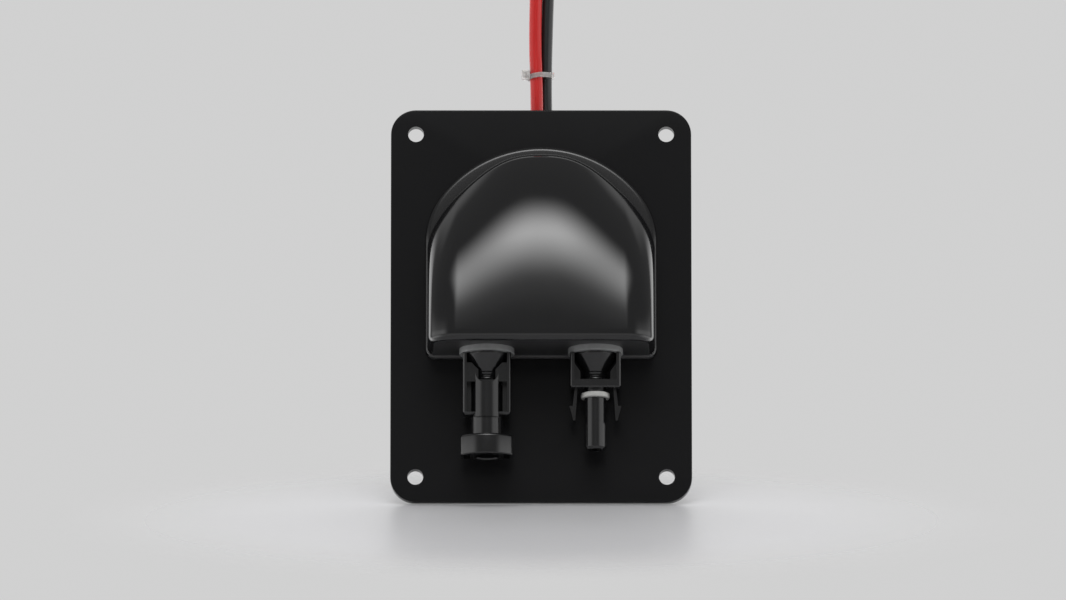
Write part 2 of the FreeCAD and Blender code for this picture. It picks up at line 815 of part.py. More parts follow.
def make_socket_body(centre):
    """Body with the slim nose: frame, neck, nose and latch arms."""
    cx = centre.x
    cy = centre.y
    frame_z = washer_bottom_z - socket_frame_drop
    ring_bottom = washer_bottom_z - seal_ring_drop - seal_ring_length
    tip_z = ring_bottom - nose_length
    bar_top = frame_z + socket_bar_thickness
    block = frame_block(centre, socket_frame_width, socket_frame_depth, socket_frame_drop,
                        socket_frame_chamfer)
    inner = socket_frame_width / 2 - socket_rail_width
    pockets = [cone_clearance(centre, bar_top, 2 * inner)]
    for side in (-1, 1):
        pockets += side_pocket(centre, side, 0, inner, socket_frame_depth, bar_top,
                               washer_bottom_z + tool_reach)
    block = block.cut(pockets[0].fuse(pockets[1:]))
    neck = cylinder(socket_neck_diameter / 2, V(cx, cy, ring_bottom), bar_top - ring_bottom, Z_AXIS)
    nose_profile = [
        (0, ring_bottom),
        (nose_diameter / 2, ring_bottom),
        (nose_diameter / 2, tip_z + nose_tip_round),
        (nose_diameter / 2 - nose_tip_round, tip_z),
        (0, tip_z),
    ]
    nose = revolve_profile(nose_profile, centre)
    arms = [latch_arm(centre, side, frame_z + arm_root_overlap, frame_z) for side in (-1, 1)]
    body = connector_root(centre).fuse([block, neck, nose] + arms).removeSplitter()
    bore_z = tip_z + nose_mouth_length
    mouth_start = V(cx, cy, tip_z - tool_reach)
    mouth = cylinder(nose_mouth_diameter / 2, mouth_start, nose_mouth_length + 2 * tool_reach, Z_AXIS)
    bore = cylinder(nose_bore / 2, V(cx, cy, bore_z), bar_top - bore_z, Z_AXIS)
    return body.cut(mouth.fuse([bore, contact_bores(centre, bar_top - tool_reach)]))


def make_seal_ring(centre):
    """Pale ring around the neck of the nose."""
    start = V(centre.x, centre.y, washer_bottom_z - seal_ring_drop - seal_ring_length)
    ring = cylinder(seal_ring_diameter / 2, start, seal_ring_length, Z_AXIS)
    rims = [e for e in ring.Edges if isinstance(e.Curve, Part.Circle)]
    ring = ring.makeFillet(seal_ring_round, rims)
    return ring.cut(axial_hole(socket_neck_diameter / 2, start, seal_ring_length))


def axial_hole(radius, start, length):
    """A round tool along Z through a piece of this length."""
    return cylinder(radius, start - Z_AXIS * tool_reach, length + 2 * tool_reach, Z_AXIS)


def make_washer(centre):
    """Rubber sealing washer under the connector's shoulder."""
    start = V(centre.x, centre.y, washer_bottom_z)
    washer = cylinder(washer_diameter / 2, start, washer_thickness, Z_AXIS)
    washer = washer.makeFillet(washer_edge_round, edges_in_plane(washer, "z", washer_bottom_z))
    return washer.cut(axial_hole(shank_diameter / 2 + thread_clearance, start, washer_thickness))


def make_nut(centre):
    """Hexagonal lock nut that clamps the connector from inside."""
    base_z = connector_face_z + connector_face_wall
    radius = nut_across_flats / math.sqrt(3)
    corners = []
    for i in range(7):
        turn = math.radians(60 * i)
        corners.append(V(centre.x + radius * math.cos(turn), centre.y + radius * math.sin(turn), base_z))
    nut = Part.Face(Part.makePolygon(corners)).extrude(Z_AXIS * nut_thickness)
    top_z = base_z + nut_thickness
    round_off = revolve_profile([
        (0, base_z),
        (radius, base_z),
        (radius, top_z - nut_chamfer),
        (radius - 2 * nut_chamfer, top_z),
        (0, top_z),
    ], centre)
    nut = nut.common(round_off)
    start = V(centre.x, centre.y, base_z)
    return nut.cut(axial_hole(shank_diameter / 2 + thread_clearance, start, nut_thickness))


def make_wire_seal(centre):
    """Rubber seal between the lead and the shank's bore."""
    floor = connector_face_z + shank_length - seal_length
    r_out = seal_bore / 2
    r_in = lead_diameter / 2
    mid = floor + seal_length / 2
    top = floor + seal_length
    waist = r_out - seal_groove_depth
    wide = seal_groove_width / 2
    narrow = wide - seal_groove_depth
    points = [
        (r_in, floor),
        (r_out, floor),
        (r_out, mid - wide),
        (waist, mid - narrow),
        (waist, mid + narrow),
        (r_out, mid + wide),
        (r_out, top),
        (r_in, top),
    ]
    return revolve_profile(points, centre)


def crimp_profile(top_z):
    """Outline of the crimp barrel that holds the conductor, open above."""
    bottom = top_z - crimp_length
    return [
        (crimp_bore / 2, top_z - conductor_length),
        (crimp_bore / 2, top_z),
        (crimp_diameter / 2, top_z),
        (crimp_diameter / 2, bottom),
    ]


def make_pin_contact(centre):
    """Turned pin contact with its shoulder and crimp barrel."""
    top = connector_face_z + lead_start_height
    tip = washer_bottom_z - mouth_drop + pin_recess
    shoulder_top = top - crimp_length - crimp_neck_length
    r_pin = pin_diameter / 2
    points = [(0, top - conductor_length)] + crimp_profile(top)
    points += [
        (contact_shoulder_diameter / 2, shoulder_top),
        (contact_shoulder_diameter / 2, shoulder_top - contact_shoulder_length),
        (r_pin, shoulder_top - contact_shoulder_length - contact_shoulder_taper),
        (r_pin, tip + pin_tip_round),
        (r_pin - pin_tip_round / 2, tip),
        (0, tip),
    ]
    return revolve_profile(points, centre)


def make_socket_contact(centre):
    """Turned socket contact, bored for the mating pin."""
    top = connector_face_z + lead_start_height
    nose_tip = washer_bottom_z - seal_ring_drop - seal_ring_length - nose_length
    tip = nose_tip + nose_mouth_length
    shoulder_top = top - crimp_length - crimp_neck_length
    r_out = socket_outer_diameter / 2
    points = [(0, top - conductor_length)] + crimp_profile(top)
    points += [
        (contact_shoulder_diameter / 2, shoulder_top),
        (contact_shoulder_diameter / 2, shoulder_top - contact_shoulder_length),
        (r_out, shoulder_top - contact_shoulder_length - contact_shoulder_taper),
        (r_out, tip),
        (socket_bore / 2, tip),
        (socket_bore / 2, tip + socket_bore_depth),
        (0, tip + socket_bore_depth),
    ]
    return revolve_profile(points, centre)


def make_conductor(centre):
    """Stripped end of a lead inside the crimp barrel."""
    start = V(centre.x, centre.y, connector_face_z + lead_start_height - conductor_length)
    return cylinder(conductor_diameter / 2, start, conductor_length, Z_AXIS)


# Leads

lead_start_z = connector_face_z + lead_start_height
lead_turn_z = lead_start_z + lead_straight_start
red_route = [
    V(-connector_spacing / 2, depth_y(connector_depth), lead_start_z),
    V(-connector_spacing / 2, depth_y(connector_depth), lead_turn_z),
    V(-14.4, -16.6, 13.8),
    V(-7.9, -11.2, 27.6),
    V(-3.7, 1.4, 36.6),
    V(-1.75, 7.3, 51.0),
    V(-1.5, 8.2, 68.5),
    V(-2.2, 8.2, 88.0),
    V(-2.2, 8.0, 107.0),
    V(-1.7, 7.7, 125.0),
]
black_route = [
    V(connector_spacing / 2, depth_y(connector_depth), lead_start_z),
    V(connector_spacing / 2, depth_y(connector_depth), lead_turn_z),
    V(14.4, -16.6, 13.8),
    V(8.0, -11.0, 27.6),
    V(4.0, 1.8, 36.8),
    V(2.9, 9.2, 51.0),
    V(2.8, 11.0, 68.5),
    V(2.6, 11.2, 88.0),
    V(2.3, 10.9, 107.0),
    V(2.5, 10.6, 125.0),
]


def lead_path(name, route):
    """Straight runs joined by tangent arcs, as wide as the runs allow."""
    edges = []
    start = route[0]
    for before, corner, after in zip(route, route[1:], route[2:]):
        run_in = corner - before
        run_out = after - corner
        turn = run_in.getAngle(run_out)
        reach = 0.45 * min(run_in.Length, run_out.Length)
        radius = reach / math.tan(turn / 2)
        print(f"{name}: turn {math.degrees(turn):.1f} degrees, radius {radius:.1f} mm")
        arc_start = corner - run_in.normalize() * reach
        arc_end = corner + run_out.normalize() * reach
        middle = (arc_start + arc_end) * 0.5
        to_corner = corner - middle
        centre_gap = radius / math.cos(turn / 2)
        arc_mid = corner - to_corner.normalize() * (centre_gap - radius)
        edges.append(Part.LineSegment(start, arc_start).toShape())
        edges.append(Part.Arc(arc_start, arc_mid, arc_end).toShape())
        start = arc_end
    edges.append(Part.LineSegment(start, route[-1]).toShape())
    return Part.Wire(edges)


def make_lead(name, route):
    """A lead as a round tube along its route."""
    path = lead_path(name, route)
    profile = Part.Wire(Part.makeCircle(lead_diameter / 2, route[0], route[1] - route[0]))
    lead = path.makePipeShell([profile], True, False)
    area = math.pi * lead_diameter ** 2 / 4
    print(f"{name}: length {path.Length:.1f} mm, volume share {lead.Volume / (area * path.Length):.4f}")
    return lead


def point_at_height(route, z):
    """Where a route's straight runs pass a height."""
    for low, high in zip(route, route[1:]):
        if low.z <= z <= high.z:
            return low + (high - low) * ((z - low.z) / (high.z - low.z))
    return route[-1]


def tie_band_face(a, b, radius, z):
    """Outline around two circles in a level plane, filled."""
    along = b - a
    along.z = 0
    along.normalize()
    side = V(-along.y, along.x, 0)
    a = V(a.x, a.y, z)
    b = V(b.x, b.y, z)
    edges = [
        Part.makeLine(a + side * radius, b + side * radius),
        Part.Arc(b + side * radius, b + along * radius, b - side * radius).toShape(),
        Part.makeLine(b - side * radius, a - side * radius),
        Part.Arc(a - side * radius, a - along * radius, a + side * radius).toShape(),
    ]
    return Part.Face(Part.Wire(edges))


def make_tie():
    """Nylon tie around both leads with its square head at the left."""
    low_z = tie_z - tie_width / 2
    a = point_at_height(red_route, tie_z)
    b = point_at_height(black_route, tie_z)
    inner_radius = lead_diameter / 2 + tie_clearance
    outer_radius = inner_radius + tie_thickness
    band = tie_band_face(a, b, outer_radius, low_z).extrude(Z_AXIS * tie_width)
    head_x = a.x - outer_radius + tie_head_overlap
    tail_x = head_x - tie_head_width / 2
    head = box(head_x - tie_head_width, head_x, a.y - tie_head_depth / 2, a.y + tie_head_depth / 2,
               tie_z - tie_head_height / 2, tie_z + tie_head_height / 2)
    head = head.makeFillet(tie_head_round, upright_box_edges(head, Z_AXIS))
    tail = box(tail_x - tie_thickness / 2, tail_x + tie_thickness / 2,
               a.y - tie_head_depth / 2 - tie_tail_length, a.y, low_z, low_z + tie_width)
    tie = band.fuse([head, tail]).removeSplitter()
    hole_face = tie_band_face(a, b, inner_radius, tie_z - tie_head_height)
    return tie.cut(hole_face.extrude(Z_AXIS * 2 * tie_head_height))


# Output


def build_parts():
    """All pieces by node name."""
    pin_centre, socket_centre = connector_centres()
    parts = {
        "mounting_plate": make_plate(),
        "housing_gasket": make_gasket(),
        "housing_shell": make_housing(),
        "cable_grommet": make_grommet(),
        "pin_connector_body": make_pin_body(pin_centre),
        "socket_connector_body": make_socket_body(socket_centre),
        "nose_seal_ring": make_seal_ring(socket_centre),
        "pin_contact": make_pin_contact(pin_centre),
        "socket_contact": make_socket_contact(socket_centre),
        "red_lead": make_lead("red_lead", red_route),
        "black_lead": make_lead("black_lead", black_route),
        "cable_tie": make_tie(),
    }
    for side, centre in (("pin", pin_centre), ("socket", socket_centre)):
        parts[f"{side}_sealing_washer"] = make_washer(centre)
        parts[f"{side}_lock_nut"] = make_nut(centre)
        parts[f"{side}_wire_seal"] = make_wire_seal(centre)
    parts["red_conductor"] = make_conductor(pin_centre)
    parts["black_conductor"] = make_conductor(socket_centre)
    for number, (x, z) in enumerate(screw_places(), start=1):
        parts[f"housing_screw_{number}"] = make_screw(x, z)
    return parts


os.makedirs("parts", exist_ok=True)
for node, solid in build_parts().items():
    if len(solid.Solids) == 1:
        solid = solid.Solids[0]
    print(f"{node}: {len(solid.Solids)} solid, volume {solid.Volume:.0f}, valid {solid.isValid()}")
    solid.exportStep(f"parts/{node}.step")
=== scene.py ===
# %% [markdown]
# Looks of a solar cable entry plate. A glossy black plate carries a domed, glossy entry
# housing, two satin connectors hang from the housing's lower face, and a red and a black
# lead run up behind the plate. The measured solids come first. Everything after them is
# finish: smoother skins over the same shapes, and a material for every real substance.

import math

import bpy
import numpy as np
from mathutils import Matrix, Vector


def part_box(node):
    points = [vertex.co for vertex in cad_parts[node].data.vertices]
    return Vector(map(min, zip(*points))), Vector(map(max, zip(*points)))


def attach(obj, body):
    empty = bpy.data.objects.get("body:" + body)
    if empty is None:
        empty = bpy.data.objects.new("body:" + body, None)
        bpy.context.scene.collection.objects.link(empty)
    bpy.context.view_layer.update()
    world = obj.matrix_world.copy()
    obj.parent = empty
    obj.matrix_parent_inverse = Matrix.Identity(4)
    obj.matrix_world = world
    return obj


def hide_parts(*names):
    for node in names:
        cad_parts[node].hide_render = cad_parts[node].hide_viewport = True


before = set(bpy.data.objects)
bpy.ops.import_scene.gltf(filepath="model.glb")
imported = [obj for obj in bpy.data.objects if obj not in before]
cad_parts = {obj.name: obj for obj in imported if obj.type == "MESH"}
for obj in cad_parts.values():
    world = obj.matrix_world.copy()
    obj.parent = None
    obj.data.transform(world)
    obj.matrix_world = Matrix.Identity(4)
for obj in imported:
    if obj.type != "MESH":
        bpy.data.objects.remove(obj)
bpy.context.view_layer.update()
MM = 0.001

# %% [markdown]
# Colours are written as a picture editor shows them, in sRGB hex. The renderer counts
# light linearly, so one function undoes the screen curve. Linear numbers could be typed
# in straight away, but they can't be compared with what a picture shows.

# %% Colour helper


def linear(hex_colour):
    """Linear RGBA of an sRGB hex colour: each channel's screen curve is undone."""
    srgb = np.array([int(hex_colour[i : i + 2], 16) for i in (1, 3, 5)]) / 255
    light = np.where(srgb <= 0.04045, srgb / 12.92, ((srgb + 0.055) / 1.055) ** 2.4)
    return (*light.tolist(), 1.0)


print("mid grey", round(linear("#808080")[0], 3))

# %% [markdown]
# Materials are small graphs of nodes. One helper adds a node of any kind, sets its
# options, and fills each input with a value or with the output that feeds it. The
# others add what every finish needs: a cloudy pattern, a ramp, and a link from a pattern
# to the roughness, the colour or the normal.

# %% Node helpers


def add_node(tree, kind, inputs=None, **options):
    """Adds one node; inputs maps an input's name or number to a value or an output."""
    node = tree.nodes.new(kind)
    for name, value in options.items():
        setattr(node, name, value)
    for name, value in (inputs or {}).items():
        if isinstance(value, bpy.types.NodeSocket):
            tree.links.new(value, node.inputs[name])
        else:
            node.inputs[name].default_value = value
    return node


def new_material(name, **surface):
    """A material with its Principled shader's own sockets set, and its object coordinates."""
    material = bpy.data.materials.new(name)
    material.use_nodes = True
    tree = material.node_tree
    shader = tree.nodes["Principled BSDF"]
    for socket, value in surface.items():
        shader.inputs[socket.replace("_", " ")].default_value = value
    coordinates = add_node(tree, "ShaderNodeTexCoord").outputs["Object"]
    return material, tree, shader, coordinates


def noise(tree, place, size_mm, detail):
    """Cloudy 0 to 1 pattern whose clouds are about this many millimetres apart."""
    settings = {"Vector": place, "Scale": 1.0 / (size_mm * MM), "Detail": detail}
    return add_node(tree, "ShaderNodeTexNoise", settings).outputs["Fac"]


def ramp(tree, value, start, end, low=0.0, high=1.0, **options):
    """Low where the value is at start, high where it is at end, and in between on the way."""
    limits = {"Value": value, "From Min": start, "From Max": end, "To Min": low, "To Max": high}
    return add_node(tree, "ShaderNodeMapRange", limits, **options).outputs["Result"]


def roughness_between(tree, shader, pattern, low, high):
    """Lets a 0 to 1 pattern move the roughness between two values."""
    tree.links.new(ramp(tree, pattern, 0.0, 1.0, low, high), shader.inputs["Roughness"])


def colour_between(tree, shader, pattern, hex_low, hex_high):
    """Lets a 0 to 1 pattern move the base colour between two sRGB hex colours."""
    shades = {"Factor": pattern, 6: linear(hex_low), 7: linear(hex_high)}
    mixed = add_node(tree, "ShaderNodeMix", shades, data_type="RGBA")
    tree.links.new(mixed.outputs[2], shader.inputs["Base Color"])


def relief(tree, shader, height, depth, strength):
    """Bends the surface's normal by a 0 to 1 height pattern that is this deep, in metres."""
    bump = add_node(tree, "ShaderNodeBump", {"Height": height, "Distance": depth, "Strength": strength})
    tree.links.new(bump.outputs["Normal"], shader.inputs["Normal"])


print("node helpers ready")

# %% [markdown]
# The plate is cut from cast acrylic sheet. Its black face has a dim, soft gloss: it
# mirrors the studio as an even haze, with no picture in it. A specular level well below
# the usual 0.5 and a roughness of about 0.2 give that. A finger has touched it here and
# there, which only shows as a slight change in sharpness, so a slow noise moves the
# roughness. A painted shade could look the same from the front, but not from behind.

# %% Black cast acrylic sheet


def cast_acrylic_sheet():
    """Black sheet with a dim, soft gloss and faint handling haze."""
    material, tree, shader, place = new_material(
        "cast_acrylic_sheet", Base_Color=linear("#151516"), IOR=1.49, Specular_IOR_Level=0.16
    )
    roughness_between(tree, shader, noise(tree, place, 28, 5.0), 0.16, 0.24)
    return material


acrylic = cast_acrylic_sheet()
print("made", acrylic.name)

# %% [markdown]
# The housing is ABS moulded against a polished tool. It is glossy too, but a moulding
# cools unevenly, so its reflections waver slightly over a centimetre or two. A very
# shallow, slow noise in the normal gives that. The flange comes from a finely textured
# part of the tool, which makes it duller, and the lower face, where the washers seat,
# from a coarser one, which makes it rougher. The lower face is also painted a lighter
# grey: painted fill light, which stands in for light from below that the lights here
# don't bring to it. One ramp over the depth and one over the height choose between the
# three finishes, so they blend round the soft edges.
# Three materials would need the mesh to be cut along those edges. The flange's front
# stands 3 mm before the plate, and the lower face 1 mm above the flange's lower edge.

# %% Polished ABS moulding
FLANGE_FRONT_DEPTH = 3.0
FACE_RISE = 1.0
FLANGE_FACE_Y = float(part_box("mounting_plate")[0][1]) - FLANGE_FRONT_DEPTH * MM
UNDERSIDE_Z = float(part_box("housing_shell")[0][2]) + FACE_RISE * MM
FLANGE_ROUGHNESS = 0.2
UNDERSIDE_ROUGHNESS = 0.4


def polished_abs():
    """Glossy black moulding, duller flange, rougher lower face lightened as painted fill light."""
    material, tree, shader, place = new_material("polished_abs_moulding", IOR=1.53)
    axes = add_node(tree, "ShaderNodeSeparateXYZ", {0: place}).outputs
    flange = ramp(tree, axes["Y"], FLANGE_FACE_Y - 0.6 * MM, FLANGE_FACE_Y - 0.1 * MM)
    underside = ramp(tree, axes["Z"], UNDERSIDE_Z + 0.25 * MM, UNDERSIDE_Z + 0.05 * MM)
    gloss = ramp(tree, noise(tree, place, 9, 4.0), 0.0, 1.0, 0.07, 0.13)
    for zone, roughness in ((flange, FLANGE_ROUGHNESS), (underside, UNDERSIDE_ROUGHNESS)):
        gloss = add_node(tree, "ShaderNodeMix", {"Factor": zone, "A": gloss, "B": roughness}).outputs[0]
    tree.links.new(gloss, shader.inputs["Roughness"])
    # Painted fill light: the lower face is made a lighter grey, standing in for light from below.
    colour_between(tree, shader, underside, "#111112", "#2d2d2e")
    relief(tree, shader, noise(tree, place, 22, 1.0), 0.12 * MM, 0.35)
    return material


abs_moulding = polished_abs()
print("made", abs_moulding.name)

# %% [markdown]
# Connector bodies are a tougher polymer from a finely eroded tool, so they are satin:
# highlights spread into broad bands. The grain is about a tenth of a millimetre; it is
# drawn at 0.25 mm, because anything finer would vanish in the picture. Moving the surface
# itself could raise the grain, but would need millions of faces; bending the normal
# needs none.

# %% Satin connector polymer
GRAIN_SIZE = 0.25


def satin_polymer(name, hex_colour, low, high):
    """Moulded engineering plastic with a fine eroded grain."""
    material, tree, shader, place = new_material(name, Base_Color=linear(hex_colour), IOR=1.55)
    roughness_between(tree, shader, noise(tree, place, 6, 3.0), low, high)
    relief(tree, shader, noise(tree, place, GRAIN_SIZE, 2.0), 0.006 * MM, 0.5)
    return material


connector_polymer = satin_polymer("satin_connector_polyamide", "#111112", 0.12, 0.22)
nut_polymer = satin_polymer("lock_nut_polyamide", "#151515", 0.35, 0.5)
print("made", connector_polymer.name, nut_polymer.name)

# %% [markdown]
# Rubber and silicone scatter light at the surface and pick up dust. The washers are a
# grey silicone, the ring on the nose is nearly white, and the gasket and grommet are
# black rubber with a bloom. One colour alone would look like paint, so two close shades
# are mottled together, and the same mottling makes the skin slightly uneven.

# %% Rubbers


def moulded_rubber(name, hex_light, hex_dark, roughness):
    """Soft moulded rubber: two close shades mottled together, matt and slightly uneven."""
    material, tree, shader, place = new_material(name, IOR=1.45, Roughness=roughness)
    dust = noise(tree, place, 1.5, 4.0)
    colour_between(tree, shader, dust, hex_dark, hex_light)
    relief(tree, shader, dust, 0.05 * MM, 0.4)
    return material


washer_silicone = moulded_rubber("grey_silicone_washer", "#808181", "#6b6c6c", 0.42)
nose_silicone = moulded_rubber("pale_silicone_ring", "#b0b0ad", "#9d9d9a", 0.35)
black_rubber = moulded_rubber("black_epdm_rubber", "#262626", "#171717", 0.7)
print("made", washer_silicone.name, nose_silicone.name, black_rubber.name)

# %% [markdown]
# The leads' jackets are extruded: the die leaves very fine lines along the lead, and the
# surface is smooth but not shiny. The lines could follow the lead's bends through a map
# of its surface, but only the upright stretch shows them, so a noise stretched along Z
# does.

# %% Extruded lead jackets


def extruded_jacket(name, hex_light, hex_dark):
    """Extruded cable jacket with fine lines along its length."""
    material, tree, shader, place = new_material(name, IOR=1.5)
    stretched = add_node(tree, "ShaderNodeMapping", {"Vector": place, "Scale": (1.0, 1.0, 0.04)})
    lines = noise(tree, stretched.outputs["Vector"], 0.8, 3.0)
    colour_between(tree, shader, lines, hex_dark, hex_light)
    roughness_between(tree, shader, lines, 0.2, 0.32)
    relief(tree, shader, lines, 0.04 * MM, 0.4)
    return material


red_jacket = extruded_jacket("red_cable_jacket", "#c21b1a", "#ae1614")
black_jacket = extruded_jacket("black_cable_jacket", "#1d1d1e", "#141415")
print("made", red_jacket.name, black_jacket.name)

# %% [markdown]
# The tie is natural nylon. Most of the light goes through it, but comes out blurred, so
# the leads behind it only tint it: the shader's transmission part with a rough surface
# gives that. The rest scatters inside and glows softly, which is the subsurface part.
# Its surface keeps the tool's fine ripple.

# %% Natural nylon


def natural_nylon():
    """Milky nylon that lets blurred light through."""
    material, tree, shader, place = new_material(
        "natural_nylon",
        Base_Color=linear("#dad8d6"),
        IOR=1.53,
        Roughness=0.4,
        Transmission_Weight=0.75,
        Subsurface_Weight=0.5,
        Subsurface_Radius=(1.0, 1.0, 0.9),
        Subsurface_Scale=0.8 * MM,
    )
    relief(tree, shader, noise(tree, place, 1.2, 2.0), 0.04 * MM, 0.5)
    return material


nylon = natural_nylon()
print("made", nylon.name)

# %% [markdown]
# Three metals: stainless screws with turned faces, contacts with a dull tin plating, and
# tinned strands. A metal's colour is its reflection, so only roughness and tint differ.
# The turned faces could have a direction in their gloss; on pieces a few millimetres
# across, a fine grain in the roughness looks the same.

# %% Metals


def worked_metal(name, hex_colour, low, high, grain_mm):
    """Metal whose roughness follows a fine machining or plating grain."""
    material, tree, shader, place = new_material(name, Base_Color=linear(hex_colour), Metallic=1.0)
    grain = noise(tree, place, grain_mm, 3.0)
    roughness_between(tree, shader, grain, low, high)
    relief(tree, shader, grain, 0.01 * MM, 0.5)
    return material


stainless = worked_metal("turned_stainless_steel", "#b9b9b7", 0.34, 0.48, 0.6)
tin_plate = worked_metal("tin_plated_contact", "#cfcdc6", 0.28, 0.42, 0.4)
tinned_strand = worked_metal("tinned_copper_strand", "#cdc6b8", 0.3, 0.45, 0.3)
print("made", stainless.name, tin_plate.name, tinned_strand.name)

# %% [markdown]
# The camera stands five metres away with a very long lens, which keeps the plate's sides
# parallel. It looks up by about thirteen degrees, so it sees the housing's lower face and
# the undersides of the washers. Its aim is the point of the plate's front that lies in
# the middle of the picture. A nearer camera with a shorter lens would make the plate
# narrower towards the top.

# %% Camera
CAMERA_PITCH = math.radians(12.8)
CAMERA_DISTANCE = 5.0
CAMERA_LENS = 444.8
CAMERA_AIM = Vector((-3.08, -4.0, 2.0)) * MM

look = Vector((0.0, math.cos(CAMERA_PITCH), math.sin(CAMERA_PITCH)))
camera_data = bpy.data.cameras.new("camera")
camera_data.lens = CAMERA_LENS
camera_data.sensor_width = 36.0
camera_data.clip_start = 0.05
camera_data.clip_end = 50.0
camera = bpy.data.objects.new("camera", camera_data)
bpy.context.collection.objects.link(camera)
camera.location = CAMERA_AIM - look * CAMERA_DISTANCE
camera.rotation_mode = "QUATERNION"
camera.rotation_quaternion = look.to_track_quat("-Z", "Y")
bpy.context.scene.camera = camera
print("camera at", [round(v, 3) for v in camera.location])

# %% [markdown]
# New surfaces are grids of points worked out by numpy. A grid becomes a mesh with one
# array of corners and one of faces; several grids can share a mesh. Points that lie on
# each other, at seams and poles, are kept once, so the skin closes. Blender could merge
# them too, but numpy does it in one step and gives the same numbers each run.

# %% Grid helpers
MERGE_DISTANCE = 0.0005 * MM
SMOOTH_DEGREES = 30.0


def merged(points):
    """The points with coinciding ones kept once, and each old point's new number."""
    keys = np.round(points / MERGE_DISTANCE).astype(np.int64)
    _, first, numbers = np.unique(keys, axis=0, return_index=True, return_inverse=True)
    return points[first], numbers.reshape(-1)


def grid_faces(rows, columns, start=0, flip=False):
    """Quad corners of a rows by columns grid whose first point has the number start."""
    corner = (np.arange(rows - 1)[:, None] * columns + np.arange(columns - 1)[None, :]).ravel() + start
    quads = np.stack([corner, corner + 1, corner + columns + 1, corner + columns], axis=1)
    return quads[:, ::-1] if flip else quads


def mesh_object(name, grids, smooth_degrees=SMOOTH_DEGREES):
    """Joins point grids (rows, columns, 3) into one smoothed mesh object.

    Each grid comes with a flag that turns its faces over.
    """
    points = []
    quads = []
    start = 0
    for grid, flip in grids:
        rows, columns = grid.shape[:2]
        points.append(grid.reshape(-1, 3))
        quads.append(grid_faces(rows, columns, start, flip))
        start += rows * columns
    points, numbers = merged(np.concatenate(points))
    return faces_object(name, points, numbers[np.concatenate(quads)], smooth_degrees)


def faces_object(name, points, quads, smooth_degrees):
    """A mesh object from merged points and quads; a quad with a doubled corner is a triangle."""
    following = np.roll(quads, -1, axis=1)
    keep = quads != following
    counts = keep.sum(axis=1)
    real = counts >= 3
    quads, keep, counts = quads[real], keep[real], counts[real]
    loops = quads[keep]
    mesh = bpy.data.meshes.new(name)
    mesh.vertices.add(len(points))
    mesh.vertices.foreach_set("co", points.astype(np.float32).ravel())
    mesh.loops.add(len(loops))
    mesh.loops.foreach_set("vertex_index", loops.astype(np.int32))
    mesh.polygons.add(len(counts))
    starts = np.concatenate([[0], np.cumsum(counts)[:-1]])
    mesh.polygons.foreach_set("loop_start", starts.astype(np.int32))
    mesh.update(calc_edges=True)
    mesh.validate()
    mesh.polygons.foreach_set("use_smooth", np.ones(len(mesh.polygons), bool))
    mesh.set_sharp_from_angle(angle=math.radians(smooth_degrees))
    obj = bpy.data.objects.new(name, mesh)
    bpy.context.collection.objects.link(obj)
    return obj


def dress(obj, material, slot, *nodes):
    """Gives a finished piece its material, and lets it stand for CAD nodes; the slot is not used."""
    obj.data.materials.clear()
    obj.data.materials.append(material)
    if nodes:
        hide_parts(*nodes)
    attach(obj, "root")
    return obj


print("grid helpers ready")

# %% [markdown]
# The housing's lid is one formula. Its depth is greatest along the flat connector face
# and falls with the cube of the height, and faster towards the sides the higher up. The
# last eleven millimetres round into the side walls. Where the lid comes down to the
# flange, along the arch, it ends in a steep rim six millimetres high, rounded at its top.
# Below the flange's front it goes on as a steep foot, so that the two always meet. The
# solid uses the same numbers; a finer grid of it mirrors the lights without facets.
# Sculpting could give such a form too, but not one that the solid can share.

# %% Housing numbers in millimetres
HOUSING_LOW, HOUSING_HIGH = (np.array(corner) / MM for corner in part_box("housing_shell"))
GASKET_LOW, GASKET_HIGH = (np.array(corner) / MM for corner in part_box("housing_gasket"))
PLATE_FRONT_Y = float(GASKET_HIGH[1])
GASKET_DEPTH = float(GASKET_HIGH[1] - GASKET_LOW[1])
FLANGE_HALF_WIDTH = float(HOUSING_HIGH[0])
FLANGE_ARCH_RISE = 37.0
FLANGE_SIDE_RADIUS = 30.2
FLANGE_CORNER_RADIUS = 4.0
FLANGE_EDGE_ROUND = 1.8
FACE_Z = float(HOUSING_LOW[2]) + FACE_RISE
DOME_DEPTH = float(PLATE_FRONT_Y - HOUSING_LOW[1])
DOME_HALF_WIDTH = 42.5
DOME_CORNER_RADIUS = 11.0
DOME_DRAFT = math.tan(math.radians(1.5)) / DOME_HALF_WIDTH
DOME_ROOT_DEPTH = 1.5
DOME_WALL = 2.5
FACE_WALL = 3.0
FACE_EDGE_ROUND = 3.0
SHARP_EDGE = 0.01
CROWN_LENGTH = 80.7
CROWN_SIDE_REACH = 34.3
CROWN_FALL_POWER = 3.0
CROWN_SIDE_POWER = 2.58
CROWN_SIDE_GROWTH = 2.1
RIM_RISE = 6.0
RIM_RUN = 3.0
FOOT_SLOPE = 4.0
SECTION_SAMPLES = 260
TURN_WEIGHT = 5.0
ROUND_STEPS = 9
FACE_STEPS = 8
print("housing depth", round(DOME_DEPTH, 2), "half width", FLANGE_HALF_WIDTH, "face z", round(FACE_Z, 2))

# %% [markdown]
# A section is a level cut through the lid. One half is worked out and then mirrored,
# because the moulding is symmetric. Even steps would spend most points on the flat
# stretches, so the steps count the outline's turning as well as its length: a corner gets
# the many points that it needs to mirror a light smoothly.

# %% Lid formula and its sections


